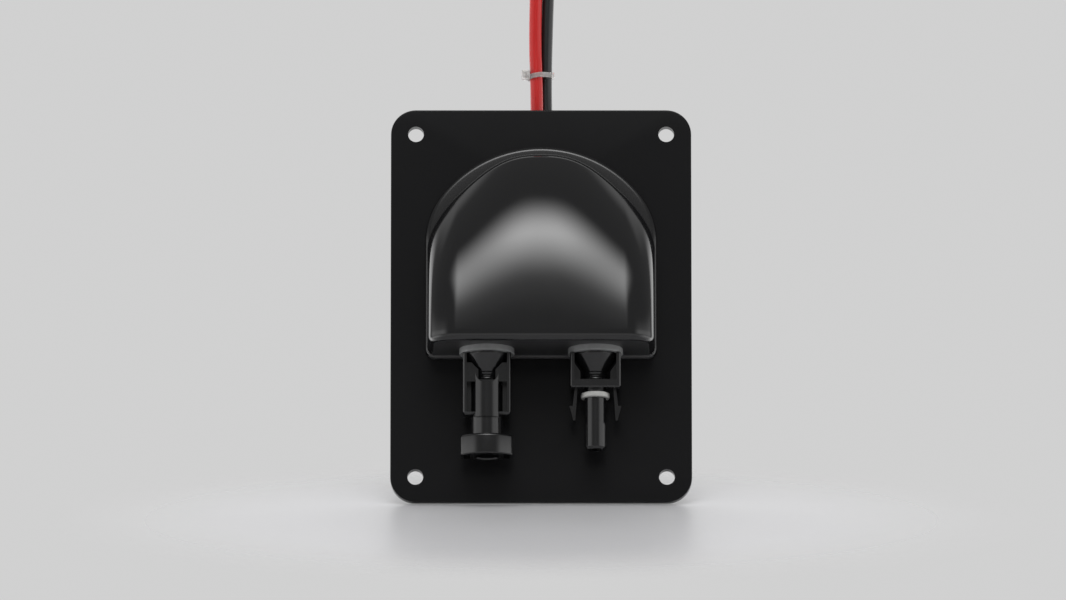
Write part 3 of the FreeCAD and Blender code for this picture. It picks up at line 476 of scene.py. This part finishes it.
def crown_depth(x, height, inset):
    """Depth of the lid: its depth times one minus two falls, minus a corner's quarter circle.

    The first fall is the cube of the height's share of the lid's length. The second is
    the side distance's share to a power of about 2.6, times the height's share to a power
    of about 2, so the sides fall faster the higher up they are.
    """
    along = height / (CROWN_LENGTH - inset)
    across = np.abs(x) / (CROWN_SIDE_REACH - inset)
    fall = along**CROWN_FALL_POWER + along**CROWN_SIDE_GROWTH * across**CROWN_SIDE_POWER
    radius = DOME_CORNER_RADIUS - inset
    into = np.clip(np.abs(x) - (DOME_HALF_WIDTH - DOME_CORNER_RADIUS), 0, radius)
    return with_rim((DOME_DEPTH - inset) * (1 - fall) - (radius - np.sqrt(radius**2 - into**2)), inset)


def with_rim(depth, inset):
    """Adds the steep rim along the arch: a quarter of an ellipse over the flange's front.

    The lid above the rim is pressed together by the rim's rise. Below the flange's front
    the depth falls four times as fast, which makes the foot.
    """
    above = depth - FLANGE_FRONT_DEPTH
    whole = DOME_DEPTH - inset - FLANGE_FRONT_DEPTH
    share = np.clip(above / RIM_RUN, 0, 1)
    lifted = RIM_RISE * np.sqrt(1 - (1 - share) ** 2) + above * (whole - RIM_RISE) / whole
    return FLANGE_FRONT_DEPTH + np.where(above > 0, lifted, above * FOOT_SLOPE)


def dome_section(height, inset, base_depth, edge_inset, count):
    """One level section, right root to left root, as 2 * count - 1 (x, depth) points.

    The roots lie at the base depth. The points are spaced by the length along the section
    plus 5 mm for every radian that it turns. The edge inset draws the section in, along
    its own normal, and the draft narrows it with its depth.
    """
    corner_x = DOME_HALF_WIDTH - DOME_CORNER_RADIUS
    radius = DOME_CORNER_RADIUS - inset
    turn = np.linspace(math.pi / 2, 0, SECTION_SAMPLES)
    x = np.concatenate([corner_x + radius * np.sin(turn), np.linspace(corner_x, 0, SECTION_SAMPLES)[1:]])
    depth = crown_depth(x, height, inset)
    if depth[0] > base_depth:
        x = np.concatenate([[x[0]], x])
        depth = np.concatenate([[base_depth], depth])
    first = int(np.argmax(depth >= base_depth))
    if first > 0:
        share = (base_depth - depth[first - 1]) / (depth[first] - depth[first - 1])
        x_root = x[first - 1] + (x[first] - x[first - 1]) * share
        x = np.concatenate([[x_root], x[first:]])
        depth = np.concatenate([[base_depth], depth[first:]])
    step = np.hypot(np.diff(x), np.diff(depth))
    heading = np.unwrap(np.arctan2(np.diff(depth), np.diff(x)))
    bending = np.abs(np.diff(heading, prepend=heading[0]))
    length = np.concatenate([[0], np.cumsum(step + TURN_WEIGHT * bending)])
    even = np.linspace(0, length[-1], count)
    x, depth = np.interp(even, length, x), np.interp(even, length, depth)
    if edge_inset > 0:
        slope_x, slope_d = np.gradient(x), np.gradient(depth)
        size = np.hypot(slope_x, slope_d)
        inward_x, inward_d = -slope_d / size, slope_x / size
        inward_x[0], inward_d[0] = -1.0, 0.0
        inward_x[-1], inward_d[-1] = 0.0, -1.0
        x, depth = x + inward_x * edge_inset, depth + inward_d * edge_inset
    x = x * (1 + DOME_DRAFT * (DOME_DEPTH - depth))
    return np.concatenate([x, -x[-2::-1]]), np.concatenate([depth, depth[-2::-1]])


print("lid depth above the middle", [round(float(crown_depth(0, h, 0)), 1) for h in (0, 40, 60)])

# %% [markdown]
# The dome's skin stacks such sections from the flat connector face to the arch. They
# stand closer together towards the arch, where the lid turns fastest. The first few are
# drawn in by a quarter circle, which rounds the face's edge. The same function with an
# inset gives the inside, and a strip joins both at the back. A modifier could thicken the
# skin too, but not more at the face than at the sides, as the real wall is.

# %% Dome skin


def to_frame(x, depth, height):
    """Points of the row's frame, in metres, from side, depth and height on the housing."""
    return np.stack([x, PLATE_FRONT_Y - depth, FACE_Z + height], axis=-1) * MM


def dome_skin(inset, bottom, base_depth, edge_round, sections=120, half_count=111):
    """Grid over the dome: rows climb the height, columns run from right root to left root.

    The first rows fill the flat connector face, from its back edge to its front edge.
    """
    end_depth = FLANGE_FRONT_DEPTH - (FLANGE_FRONT_DEPTH - base_depth) / FOOT_SLOPE
    left = 1 - end_depth / (DOME_DEPTH - inset)
    top = (CROWN_LENGTH - inset) * left ** (1 / CROWN_FALL_POWER)
    bend = np.linspace(0, math.pi / 2, ROUND_STEPS)
    rounding = bottom + edge_round * (1 - np.cos(bend))
    edge_insets = edge_round * (1 - np.sin(bend))
    climb = np.linspace(0, 1, sections)[1:]
    start = bottom + edge_round
    heights = np.concatenate([rounding, start + (top - start) * (1 - (1 - climb) ** 2)])
    heights[-1] -= 1e-7  # the very top has no width left to make a section of
    edge_insets = np.concatenate([edge_insets, np.zeros(sections - 1)])
    rows = []
    for height, edge_inset in zip(heights, edge_insets):
        x, depth = dome_section(height, inset, base_depth, edge_inset, half_count)
        rows.append(to_frame(x, depth, np.full_like(x, height)))
    rim_x = rows[0][:, 0]
    base = np.stack([rim_x, np.full_like(rim_x, rows[0][0, 1]), rows[0][:, 2]], axis=-1)
    shares = np.linspace(0, 1, FACE_STEPS)[:-1, None, None]
    face = base[None] * (1 - shares) + rows[0][None] * shares
    return np.concatenate([face, np.stack(rows)])


outer = dome_skin(0.0, 0.0, DOME_ROOT_DEPTH, FACE_EDGE_ROUND)
inner = dome_skin(DOME_WALL, FACE_WALL, GASKET_DEPTH, SHARP_EDGE)
right_rim = np.stack([outer[:, 0], inner[:, 0]])
left_rim = np.stack([outer[:, -1], inner[:, -1]])
low_rim = np.stack([outer[0], inner[0]])
print("dome rows and columns", outer.shape[:2])

# %% [markdown]
# The flange is an arch of three tangent arcs on straight sides. A ring of points runs
# round it; rings drawn in by a quarter circle round its front edge, and the innermost
# ring hides inside the dome's wall, so the back stays open as on the real moulding. A
# bevel could round the edge as well; with rings, the round is the same all the way.

# %% Flange skin
BASE_POINTS, FOOT_POINTS, SIDE_POINTS, FLANK_POINTS, ARCH_POINTS = 59, 16, 30, 60, 79
FAN_CENTRE = np.array([0.0, 15.0]) * MM


def arch_ring(inset, depth):
    """Closed ring round the flange's outline, drawn in by an inset, at a depth."""
    half = FLANGE_HALF_WIDTH - inset
    bottom = HOUSING_LOW[2] + inset
    top = HOUSING_HIGH[2] - inset
    rise = FLANGE_ARCH_RISE - inset
    side = FLANGE_SIDE_RADIUS - inset
    corner = FLANGE_CORNER_RADIUS - inset
    reach = half - side
    crown = (reach**2 + rise**2 - side**2) / (2 * (rise - side))
    meet = math.atan2(reach, crown - rise)
    foot = np.linspace(0, math.pi / 2, FOOT_POINTS)
    flank = np.linspace(math.pi / 2, meet, FLANK_POINTS)
    arch = np.linspace(meet, 0, ARCH_POINTS + 1)[1:]
    x = np.concatenate([
        np.linspace(0, half - corner, BASE_POINTS + 1)[:-1],
        half - corner + corner * np.sin(foot),
        np.full(SIDE_POINTS, half),
        reach + side * np.sin(flank),
        crown * np.sin(arch),
    ])
    z = np.concatenate([
        np.full(BASE_POINTS, bottom),
        bottom + corner - corner * np.cos(foot),
        np.linspace(bottom + corner, top - rise, SIDE_POINTS + 2)[1:-1],
        top - rise + side * np.cos(flank),
        top - crown + crown * np.cos(arch),
    ])
    x = np.concatenate([x, -x[-2::-1]])
    z = np.concatenate([z, z[-2::-1]])
    y = np.full_like(x, PLATE_FRONT_Y - depth)
    return np.stack([x, y, z], axis=-1) * MM


def wall_ring(around, inset, depth):
    """Ring inside the dome's wall, each point of it in the direction of one on another ring.

    The directions start from a fan's centre. Those that point below the wall's ends meet
    the straight line along the housing's lower face.
    """
    root = dome_skin(inset, inset, depth, SHARP_EDGE, half_count=9)
    contour = np.concatenate([root[:, 0], root[::-1, -1]])[:, [0, 2]]
    arms = contour - FAN_CENTRE
    turn = np.unwrap(np.arctan2(arms[:, 0], -arms[:, 1]))
    reach = np.hypot(arms[:, 0], arms[:, 1])
    outward = around[:, [0, 2]] - FAN_CENTRE
    wanted = np.arctan2(outward[:, 0], -outward[:, 1]) % (2 * math.pi)
    face_reach = (FAN_CENTRE[1] - contour[0, 1]) / np.maximum(np.cos(wanted), 1e-6)
    below = (wanted < turn[0]) | (wanted > turn[-1])
    found = np.where(below, face_reach, np.interp(wanted, turn, reach))
    x = FAN_CENTRE[0] + found * np.sin(wanted)
    z = FAN_CENTRE[1] - found * np.cos(wanted)
    return np.stack([x, np.full_like(x, (PLATE_FRONT_Y - depth) * MM), z], axis=-1)


edge_rings = [arch_ring(0.0, GASKET_DEPTH)]
for turn in np.linspace(0, math.pi / 2, ROUND_STEPS):
    inset = FLANGE_EDGE_ROUND * (1 - math.cos(turn))
    edge_rings.append(arch_ring(inset, FLANGE_FRONT_DEPTH - FLANGE_EDGE_ROUND * (1 - math.sin(turn))))
front_wall = wall_ring(edge_rings[-1], DOME_WALL / 2, FLANGE_FRONT_DEPTH)
back_wall = front_wall + np.array([0.0, (FLANGE_FRONT_DEPTH - GASKET_DEPTH) * MM, 0.0])
flange = np.stack([*edge_rings, front_wall, back_wall, edge_rings[0]])
print("flange rings", flange.shape[:2])

# %% [markdown]
# Four bosses stand inside the housing where the screws enter. Hardly anything of them
# shows, but the real moulding has them. They could be pieces of their own, but they are
# moulded in one with the shell, so their grids join its mesh.

# %% Housing piece
BOSS_BORE_RADIUS, BOSS_RADIUS = 1.25, 3.5
BOSS_BORE_DEPTH, BOSS_DEPTH = 6.2, 7.4
BOSS_PROFILE = [
    (BOSS_BORE_RADIUS, -BOSS_BORE_DEPTH),
    (BOSS_BORE_RADIUS, 0.0),
    (BOSS_RADIUS, 0.0),
    (BOSS_RADIUS, -BOSS_DEPTH),
    (0.0, -BOSS_DEPTH),
    (0.0, -BOSS_BORE_DEPTH),
    (BOSS_BORE_RADIUS, -BOSS_BORE_DEPTH),
]


def turned(profile, centre, axis, count):
    """Grid of a (radius, distance) profile turned round an axis through a centre, in mm."""
    angle = np.linspace(0, 2 * math.pi, count + 1)
    radius = np.array([p[0] for p in profile])[:, None]
    along = np.array([p[1] for p in profile])[:, None]
    one, other = radius * np.cos(angle), radius * np.sin(angle)
    along = along + 0 * one
    parts = {"z": (one, other, along), "y": (other, along, one)}[axis]
    return (np.stack(parts, axis=-1) + np.array(centre)) * MM


def boss_grid(screw):
    """One boss, on the axis of its screw's box."""
    low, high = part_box(screw)
    x, z = ((low[axis] + high[axis]) / 2 / MM for axis in (0, 2))
    return turned(BOSS_PROFILE, (x, PLATE_FRONT_Y - GASKET_DEPTH, z), "y", 32)


housing_grids = [(outer, True), (inner, False), (right_rim, True), (left_rim, False), (low_rim, False)]
housing_grids.append((flange, False))
housing_grids += [(boss_grid(f"housing_screw_{n}"), False) for n in range(1, 5)]
housing = mesh_object("entry_housing", housing_grids, 40.0)
dress(housing, abs_moulding, "glossy_moulded_plastic", "housing_shell")
print("housing faces", len(housing.data.polygons))

# %% [markdown]
# The other pieces are taken from the solids themselves. They could be modelled again,
# but their measured shapes are right as they are. A solid's mesh is loose triangles, so a
# copy has its doubled corners merged, and shading is smooth except across edges sharper
# than thirty degrees.

# %% Smoothed copies of solids


def smooth_copy(node):
    """A copy of a CAD node's mesh with merged corners and smooth shading between edges."""
    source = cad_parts[node].data
    points = np.zeros(len(source.vertices) * 3, np.float32)
    source.vertices.foreach_get("co", points)
    points = points.reshape(-1, 3).astype(float)
    source.calc_loop_triangles()
    corners = np.zeros(len(source.loop_triangles) * 3, np.int32)
    source.loop_triangles.foreach_get("vertices", corners)
    points, numbers = merged(points)
    triangles = numbers[corners.reshape(-1, 3)]
    quads = np.concatenate([triangles, triangles[:, -1:]], axis=1)
    return faces_object(f"{node}_finished", points, quads, SMOOTH_DEGREES)


FINISHES = {
    "mounting_plate": (acrylic, "black_sheet_plastic"),
    "housing_gasket": (black_rubber, "gasket_rubber"),
    "cable_grommet": (black_rubber, "gasket_rubber"),
    "pin_connector_body": (connector_polymer, "satin_connector_plastic"),
    "socket_connector_body": (connector_polymer, "satin_connector_plastic"),
    "pin_lock_nut": (nut_polymer, "satin_connector_plastic"),
    "socket_lock_nut": (nut_polymer, "satin_connector_plastic"),
    "pin_sealing_washer": (washer_silicone, "grey_washer_rubber"),
    "socket_sealing_washer": (washer_silicone, "grey_washer_rubber"),
    "nose_seal_ring": (nose_silicone, "pale_silicone"),
    "pin_wire_seal": (black_rubber, "gasket_rubber"),
    "socket_wire_seal": (black_rubber, "gasket_rubber"),
    "pin_contact": (tin_plate, "tinned_contact_metal"),
    "socket_contact": (tin_plate, "tinned_contact_metal"),
    "red_conductor": (tinned_strand, "tinned_copper_strands"),
    "black_conductor": (tinned_strand, "tinned_copper_strands"),
    **{f"housing_screw_{n}": (stainless, "stainless_steel") for n in range(1, 5)},
}
for node, (material, slot_name) in FINISHES.items():
    dress(smooth_copy(node), material, slot_name, node)
print("smoothed", len(FINISHES), "solids")

# %% [markdown]
# A lead is one smooth curve with a round section. Its points are those of the solid's
# route: out of the contact, up inside the housing, back through the grommet and up
# behind the plate. Where the leads show, above the plate, the points are moved by up to a
# millimetre, so that the two sway as the real ones do. The photograph's upper edge cuts
# the leads off, and they end there. A mesh tube could follow the same points; a curve
# stays round and even in its bends by itself.

# %% Leads
LEAD_DIAMETER = 4.8
ROUTES = {
    "red_lead": [
        (-20.5, -17.4, -16.2),
        (-20.5, -17.4, -1.2),
        (-14.4, -16.6, 13.8),
        (-7.9, -11.2, 27.6),
        (-3.7, 1.4, 36.6),
        (-1.75, 7.3, 51.0),
        (-1.6, 8.0, 68.5),
        (-1.65, 7.7, 88.0),
        (-2.4, 8.0, 107.0),
        (-1.9, 7.7, 125.0),
    ],
    "black_lead": [
        (20.5, -17.4, -16.2),
        (20.5, -17.4, -1.2),
        (14.4, -16.6, 13.8),
        (8.0, -11.0, 27.6),
        (4.0, 1.8, 36.8),
        (2.9, 9.2, 51.0),
        (2.1, 11.4, 68.5),
        (1.65, 11.7, 88.0),
        (2.0, 10.9, 107.0),
        (2.6, 10.6, 125.0),
    ],
}


def lead_curve(name, route):
    """A round tube along a quadratic curve whose control points are the route."""
    curve = bpy.data.curves.new(name, "CURVE")
    curve.dimensions = "3D"
    curve.bevel_depth = LEAD_DIAMETER / 2 * MM
    curve.bevel_resolution = 10
    curve.use_fill_caps = True
    curve.resolution_u = 16
    spline = curve.splines.new("NURBS")
    spline.points.add(len(route) - 1)
    places = np.concatenate([np.array(route) * MM, np.ones((len(route), 1))], axis=1)
    spline.points.foreach_set("co", places.astype(np.float32).ravel())
    spline.order_u = 3
    spline.use_endpoint_u = True
    obj = bpy.data.objects.new(name, curve)
    bpy.context.collection.objects.link(obj)
    return obj


for name, material in (("red_lead", red_jacket), ("black_lead", black_jacket)):
    jacket = lead_curve(f"{name}_jacket", ROUTES[name])
    dress(jacket, material, name.replace("lead", "cable_jacket"), name)

# %% [markdown]
# The tie is a ratchet strap: a flat band round both leads, with fine teeth across it,
# whose tail goes through a square head. The band's middle line is two half circles
# round the leads' centres and two straight stretches. A tie pulled tight by hand sits a
# little askew, so the band climbs slightly from the head to the far side. A bent strip
# with a curve modifier could do this as well; points worked out one by one keep the teeth
# evenly spaced round the bends.

# %% Cable tie
TIE_Z = 92.15
TIE_TILT = 0.19
TIE_WIDTH = 1.85
TIE_THICKNESS = 0.9
TIE_CLEARANCE = 0.1
TIE_STEPS, TIE_SECTION_STEPS = 420, 24
BAND_POWER, HEAD_POWER, TAIL_POWER = 0.35, 2 / 7, 2 / 5
TOOTH_PITCH = 0.9
TOOTH_DEPTH = 0.12
TOOTHED_SHARE = 0.36
HEAD_WIDTH, HEAD_DEPTH, HEAD_HEIGHT = 3.2, 4.2, 3.3
HEAD_FORWARD = 1.0
HEAD_RISE = 0.4
TAIL_FORWARD = 1.0
TAIL_LENGTH = 2.4


def lead_place(route, z):
    """Where a route passes a height, in mm, on its straight runs."""
    points = np.array(route)
    return np.array([np.interp(z, points[:, 2], points[:, axis]) for axis in (0, 1)])


def racetrack(a, b, radius, count):
    """Points round two circles of one radius, outward directions, and lengths on the way."""
    along = (b - a) / np.linalg.norm(b - a)
    side = np.array([-along[1], along[0]])
    gap = np.linalg.norm(b - a)
    total = 2 * gap + 2 * math.pi * radius
    s = np.linspace(0, total, count + 1)
    half = math.pi * radius
    out, round_b, back = s < gap, s < gap + half, s < 2 * gap + half
    turn = math.pi + (s - 2 * gap - half) / radius
    turn = np.select([out, round_b, back], [0.0, (s - gap) / radius, math.pi], turn)
    slide = np.select([out, round_b, back], [s, gap, gap - (s - gap - half)], 0.0)
    outward = side * np.cos(turn)[:, None] + along * np.sin(turn)[:, None]
    return a + along * slide[:, None] + outward * radius, outward, s


def flattened(wave, power):
    """A sine or cosine pressed towards a square wave: its size to a power under one."""
    return np.sign(wave) * np.abs(wave) ** power


def tie_band(a, b):
    """Grid of the band: a rounded flat section carried round the leads, toothed outside."""
    radius = LEAD_DIAMETER / 2 + TIE_CLEARANCE + TIE_THICKNESS / 2
    middle, outward, s = racetrack(a, b, radius, TIE_STEPS)
    angle = np.linspace(0, 2 * math.pi, TIE_SECTION_STEPS + 1)
    across = flattened(np.cos(angle), BAND_POWER) * TIE_THICKNESS / 2
    upward = flattened(np.sin(angle), BAND_POWER) * TIE_WIDTH / 2
    teeth = TOOTH_DEPTH * (np.abs((s / TOOTH_PITCH) % 1 - 0.5) * 2 - 1)[:, None]
    toothed = (across > TIE_THICKNESS / 4) & (np.abs(upward) < TIE_WIDTH * TOOTHED_SHARE)
    across = across[None, :] + teeth * toothed
    flat = middle[:, None, :] + outward[:, None, :] * across[..., None]
    height = (TIE_Z + TIE_TILT * (flat[..., 0] - a[0]) + upward)[..., None]
    return np.concatenate([flat, height], axis=-1) * MM


def rounded_block(centre, sizes, power, count):
    """Closed block with soft edges: a sphere whose sines and cosines are flattened."""
    polar = np.linspace(-math.pi / 2, math.pi / 2, count + 1)[:, None]
    around = np.linspace(0, 2 * math.pi, 2 * count + 1)[None, :]
    x = flattened(np.cos(polar), power) * flattened(np.cos(around), power)
    y = flattened(np.cos(polar), power) * flattened(np.sin(around), power)
    z = flattened(np.sin(polar), power) + 0 * around
    return (np.stack([x, y, z], axis=-1) * np.array(sizes) / 2 + np.array(centre)) * MM


red_centre, black_centre = (lead_place(ROUTES[name], TIE_Z) for name in ("red_lead", "black_lead"))
head_x = red_centre[0] - LEAD_DIAMETER / 2 - HEAD_WIDTH / 2
head_centre = (head_x, red_centre[1] - HEAD_FORWARD, TIE_Z + HEAD_RISE)
tail_centre = (head_x, red_centre[1] - HEAD_DEPTH / 2 - TAIL_FORWARD, TIE_Z)
tie_grids = [
    (tie_band(red_centre, black_centre), False),
    (rounded_block(head_centre, (HEAD_WIDTH, HEAD_DEPTH, HEAD_HEIGHT), HEAD_POWER, 32), False),
    (rounded_block(tail_centre, (TIE_THICKNESS, TAIL_LENGTH, TIE_WIDTH), TAIL_POWER, 16), False),
]
tie = dress(mesh_object("tie_strap", tie_grids, 40.0), nylon, "natural_nylon", "cable_tie")
print("tie faces", len(tie.data.polygons))

# %% [markdown]
# Where the leads are cut off, their conductors show: thin tinned strands packed in rings
# round a middle strand. Each strand is a short turned pin with a domed tip. A disc with
# a pattern would do from far away, but would look printed from nearby.

# %% Strand ends
STRAND_SPACING = 0.5
STRAND_RINGS = 3
STRAND_TIP = [(0.24, -0.5), (0.24, 0.2), (0.2, 0.27), (0.1, 0.32), (0.0, 0.33)]


def strand_ends(name, route):
    """Hexagonally packed strand tips that stand just proud of a lead's cut end."""
    end, before = np.array(route[-1]), np.array(route[-2])
    axis = (end - before) / np.linalg.norm(end - before)
    one = np.cross(axis, [0.0, 1.0, 0.0])
    one /= np.linalg.norm(one)
    other = np.cross(axis, one)
    steps = range(-STRAND_RINGS, STRAND_RINGS + 1)
    grids = []
    for row in steps:
        for place in steps:
            if abs(row + place) > STRAND_RINGS:
                continue
            u = STRAND_SPACING * (place + row / 2)
            v = STRAND_SPACING * row * math.sqrt(3) / 2
            local = turned(STRAND_TIP, (u, v, 0.0), "z", 12)
            world = local[..., :1] * one + local[..., 1:2] * other + local[..., 2:] * axis
            grids.append((world + end * MM, True))
    return mesh_object(name, grids, 50.0)


for name, route in ROUTES.items():
    tips = strand_ends(f"{name}_strands", route)
    dress(tips, tinned_strand, "tinned_copper_strands")

# %% [markdown]

# %% [markdown]
# The plate stands on a pale studio floor. The camera looks up at the plate, so for it to
# look down on a floor at the same time, the floor rises behind the plate. Only a patch of
# floor is needed: it fades into the plain background. The fade's middle lies in front of
# the plate's foot, so the floor that carries the plate's soft shadow is solid there. A
# big plane would need a horizon, and its far edge would show behind the plate.

# %% Floor
PLATE_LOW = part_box("mounting_plate")[0]
FLOOR_SEEN_AT = math.radians(6.0)
FLOOR_SLOPE = math.tan(CAMERA_PITCH + FLOOR_SEEN_AT)
FLOOR_MIDDLE = (0.0, -0.05, PLATE_LOW[2])
FLOOR_SOLID_TO, FLOOR_GONE_AT = 0.08, 0.19
FLOOR_REACH = 0.5
FLOOR_GAP = 0.0002


def fading_floor():
    """Pale, slightly polished paper that fades out with the distance from its middle."""
    material, tree, shader, place = new_material("studio_floor_paper", Base_Color=linear("#d6d6d8"))
    roughness_between(tree, shader, noise(tree, place, 3, 3.0), 0.34, 0.42)
    span = add_node(tree, "ShaderNodeVectorMath", {0: place, 1: FLOOR_MIDDLE}, operation="DISTANCE")
    distance = span.outputs["Value"]
    gone = ramp(tree, distance, FLOOR_SOLID_TO, FLOOR_GONE_AT, interpolation_type="SMOOTHSTEP")
    clear = add_node(tree, "ShaderNodeBsdfTransparent")
    ways = {0: gone, 1: shader.outputs[0], 2: clear.outputs[0]}
    mixed = add_node(tree, "ShaderNodeMixShader", ways)
    tree.links.new(mixed.outputs[0], tree.nodes["Material Output"].inputs["Surface"])
    return material


floor_line = np.linspace(-FLOOR_REACH, FLOOR_REACH, 9)
floor_x, floor_y = np.meshgrid(floor_line, floor_line)
floor_z = PLATE_LOW[2] - FLOOR_GAP + floor_y * FLOOR_SLOPE
floor_points = np.stack([floor_x, floor_y, floor_z], axis=-1)
floor = mesh_object("studio_floor", [(floor_points, False)])
floor.data.materials.append(fading_floor())
print("floor slope", round(math.degrees(math.atan(FLOOR_SLOPE)), 1), "degrees")

# %% [markdown]
# Light comes from a wide softbox that lies level above and in front of the plate. It is
# painted on the world, with soft edges, because the glossy housing mirrors it and its
# edges draw the lid's form. A direction X, Y, Z meets a level softbox at X/Z, Y/Z. Here
# the first is called across, and the second, counted forward, ahead. The softbox's sides
# taper towards the front, its near edge bows, and its far edge is hollow: each of these
# is a straight mix of across and ahead. Weaker patches stand for the rest of a studio,
# and are named below. Lamps could give the same light, but their edges would be hard in
# the gloss. The camera itself sees plain grey.

# %% World light
BACKGROUND = 0.635
BASE_LIGHT = 0.28
LOWEST_RISE = 0.02
MIXES = {
    "tapered": ("ahead", 0.4, "across"),
    "bowed": ("across", -0.15, "ahead"),
    "hollowed": ("across", -2.2, "ahead"),
}
ANGLES = ("elevation", "azimuth")
PATCHES = {
    "softbox": (12.2, ("tapered", 1.47, 0.06), ("bowed", 0.475, 1.24), ("hollowed", 2.66, 0.61)),
    "its faint tail ahead": (0.45, ("ahead", 4.2, 2.2), ("ahead", 0.9, 1.6), ("across", 0.7, 0.4)),
    "just behind overhead": (0.75, ("ahead", -0.05, -0.3), ("elevation", 25, 45), ("across", 1.4, 0.4)),
    "floor all round": (0.45, ("elevation", -5, -22)),
    "floor at the sides": (1.3, ("elevation", -5, -22), ("azimuth", 45, 85), ("azimuth", 150, 120)),
    "low side walls": (
        1.2,
        ("azimuth", 28, 50),
        ("azimuth", 118, 98),
        ("elevation", -14, -4),
        ("elevation", 20, 10),
    ),
    "strips behind the sides": (1.7, ("azimuth", 116, 124), ("azimuth", 146, 136), ("elevation", 40, 20)),
    "wall behind": (BACKGROUND - BASE_LIGHT, ("azimuth", 110, 150), ("elevation", 70, 40)),
}


def painted_world():
    """World whose strength is a base plus patches: each a strength times its soft ramps.

    A patch's ramp names a quantity of the direction, the value where it is 0 and the
    value where it is 1, in degrees for an angle.
    """
    world = bpy.data.worlds.new("studio")
    bpy.context.scene.world = world
    world.use_nodes = True
    tree = world.node_tree

    def calculate(operation, first, second=0.0, third=0.0):
        """One calculation with up to three numbers."""
        numbers = {0: first, 1: second, 2: third}
        return add_node(tree, "ShaderNodeMath", numbers, operation=operation).outputs[0]

    def soft_ramp(quantity, none_at, full_at):
        """0 at one value and 1 at another, with a smooth step between."""
        if quantity in ANGLES:
            none_at, full_at = math.radians(none_at), math.radians(full_at)
        falls = none_at > full_at
        low, high = sorted((none_at, full_at))
        ends = (float(falls), float(not falls))
        return ramp(tree, seen[quantity], low, high, *ends, interpolation_type="SMOOTHSTEP")

    direction = add_node(tree, "ShaderNodeTexCoord").outputs["Generated"]
    axes = add_node(tree, "ShaderNodeSeparateXYZ", {0: direction}).outputs
    sideways = calculate("ABSOLUTE", axes["X"])
    forward = calculate("MULTIPLY", axes["Y"], -1.0)
    upward = calculate("MAXIMUM", axes["Z"], LOWEST_RISE)
    seen = {
        "across": calculate("DIVIDE", sideways, upward),
        "ahead": calculate("DIVIDE", forward, upward),
        "elevation": calculate("ARCSINE", axes["Z"]),
        "azimuth": calculate("ARCTAN2", sideways, forward),
    }
    for name, (scaled, share, kept) in MIXES.items():
        seen[name] = calculate("MULTIPLY_ADD", seen[scaled], share, seen[kept])
    total = BASE_LIGHT
    for strength, *ramps in PATCHES.values():
        patch = strength
        for one in ramps:
            patch = calculate("MULTIPLY", soft_ramp(*one), patch)
        total = calculate("ADD", patch, total)
    camera_ray = add_node(tree, "ShaderNodeLightPath").outputs["Is Camera Ray"]
    shown = add_node(tree, "ShaderNodeMix", {"Factor": camera_ray, "A": total, "B": BACKGROUND})
    background = tree.nodes["Background"]
    tree.links.new(shown.outputs[0], background.inputs["Strength"])
    background.inputs["Color"].default_value = (1.0, 1.0, 1.0, 1.0)


painted_world()
bpy.context.scene.view_settings.view_transform = "Standard"
print("world painted")
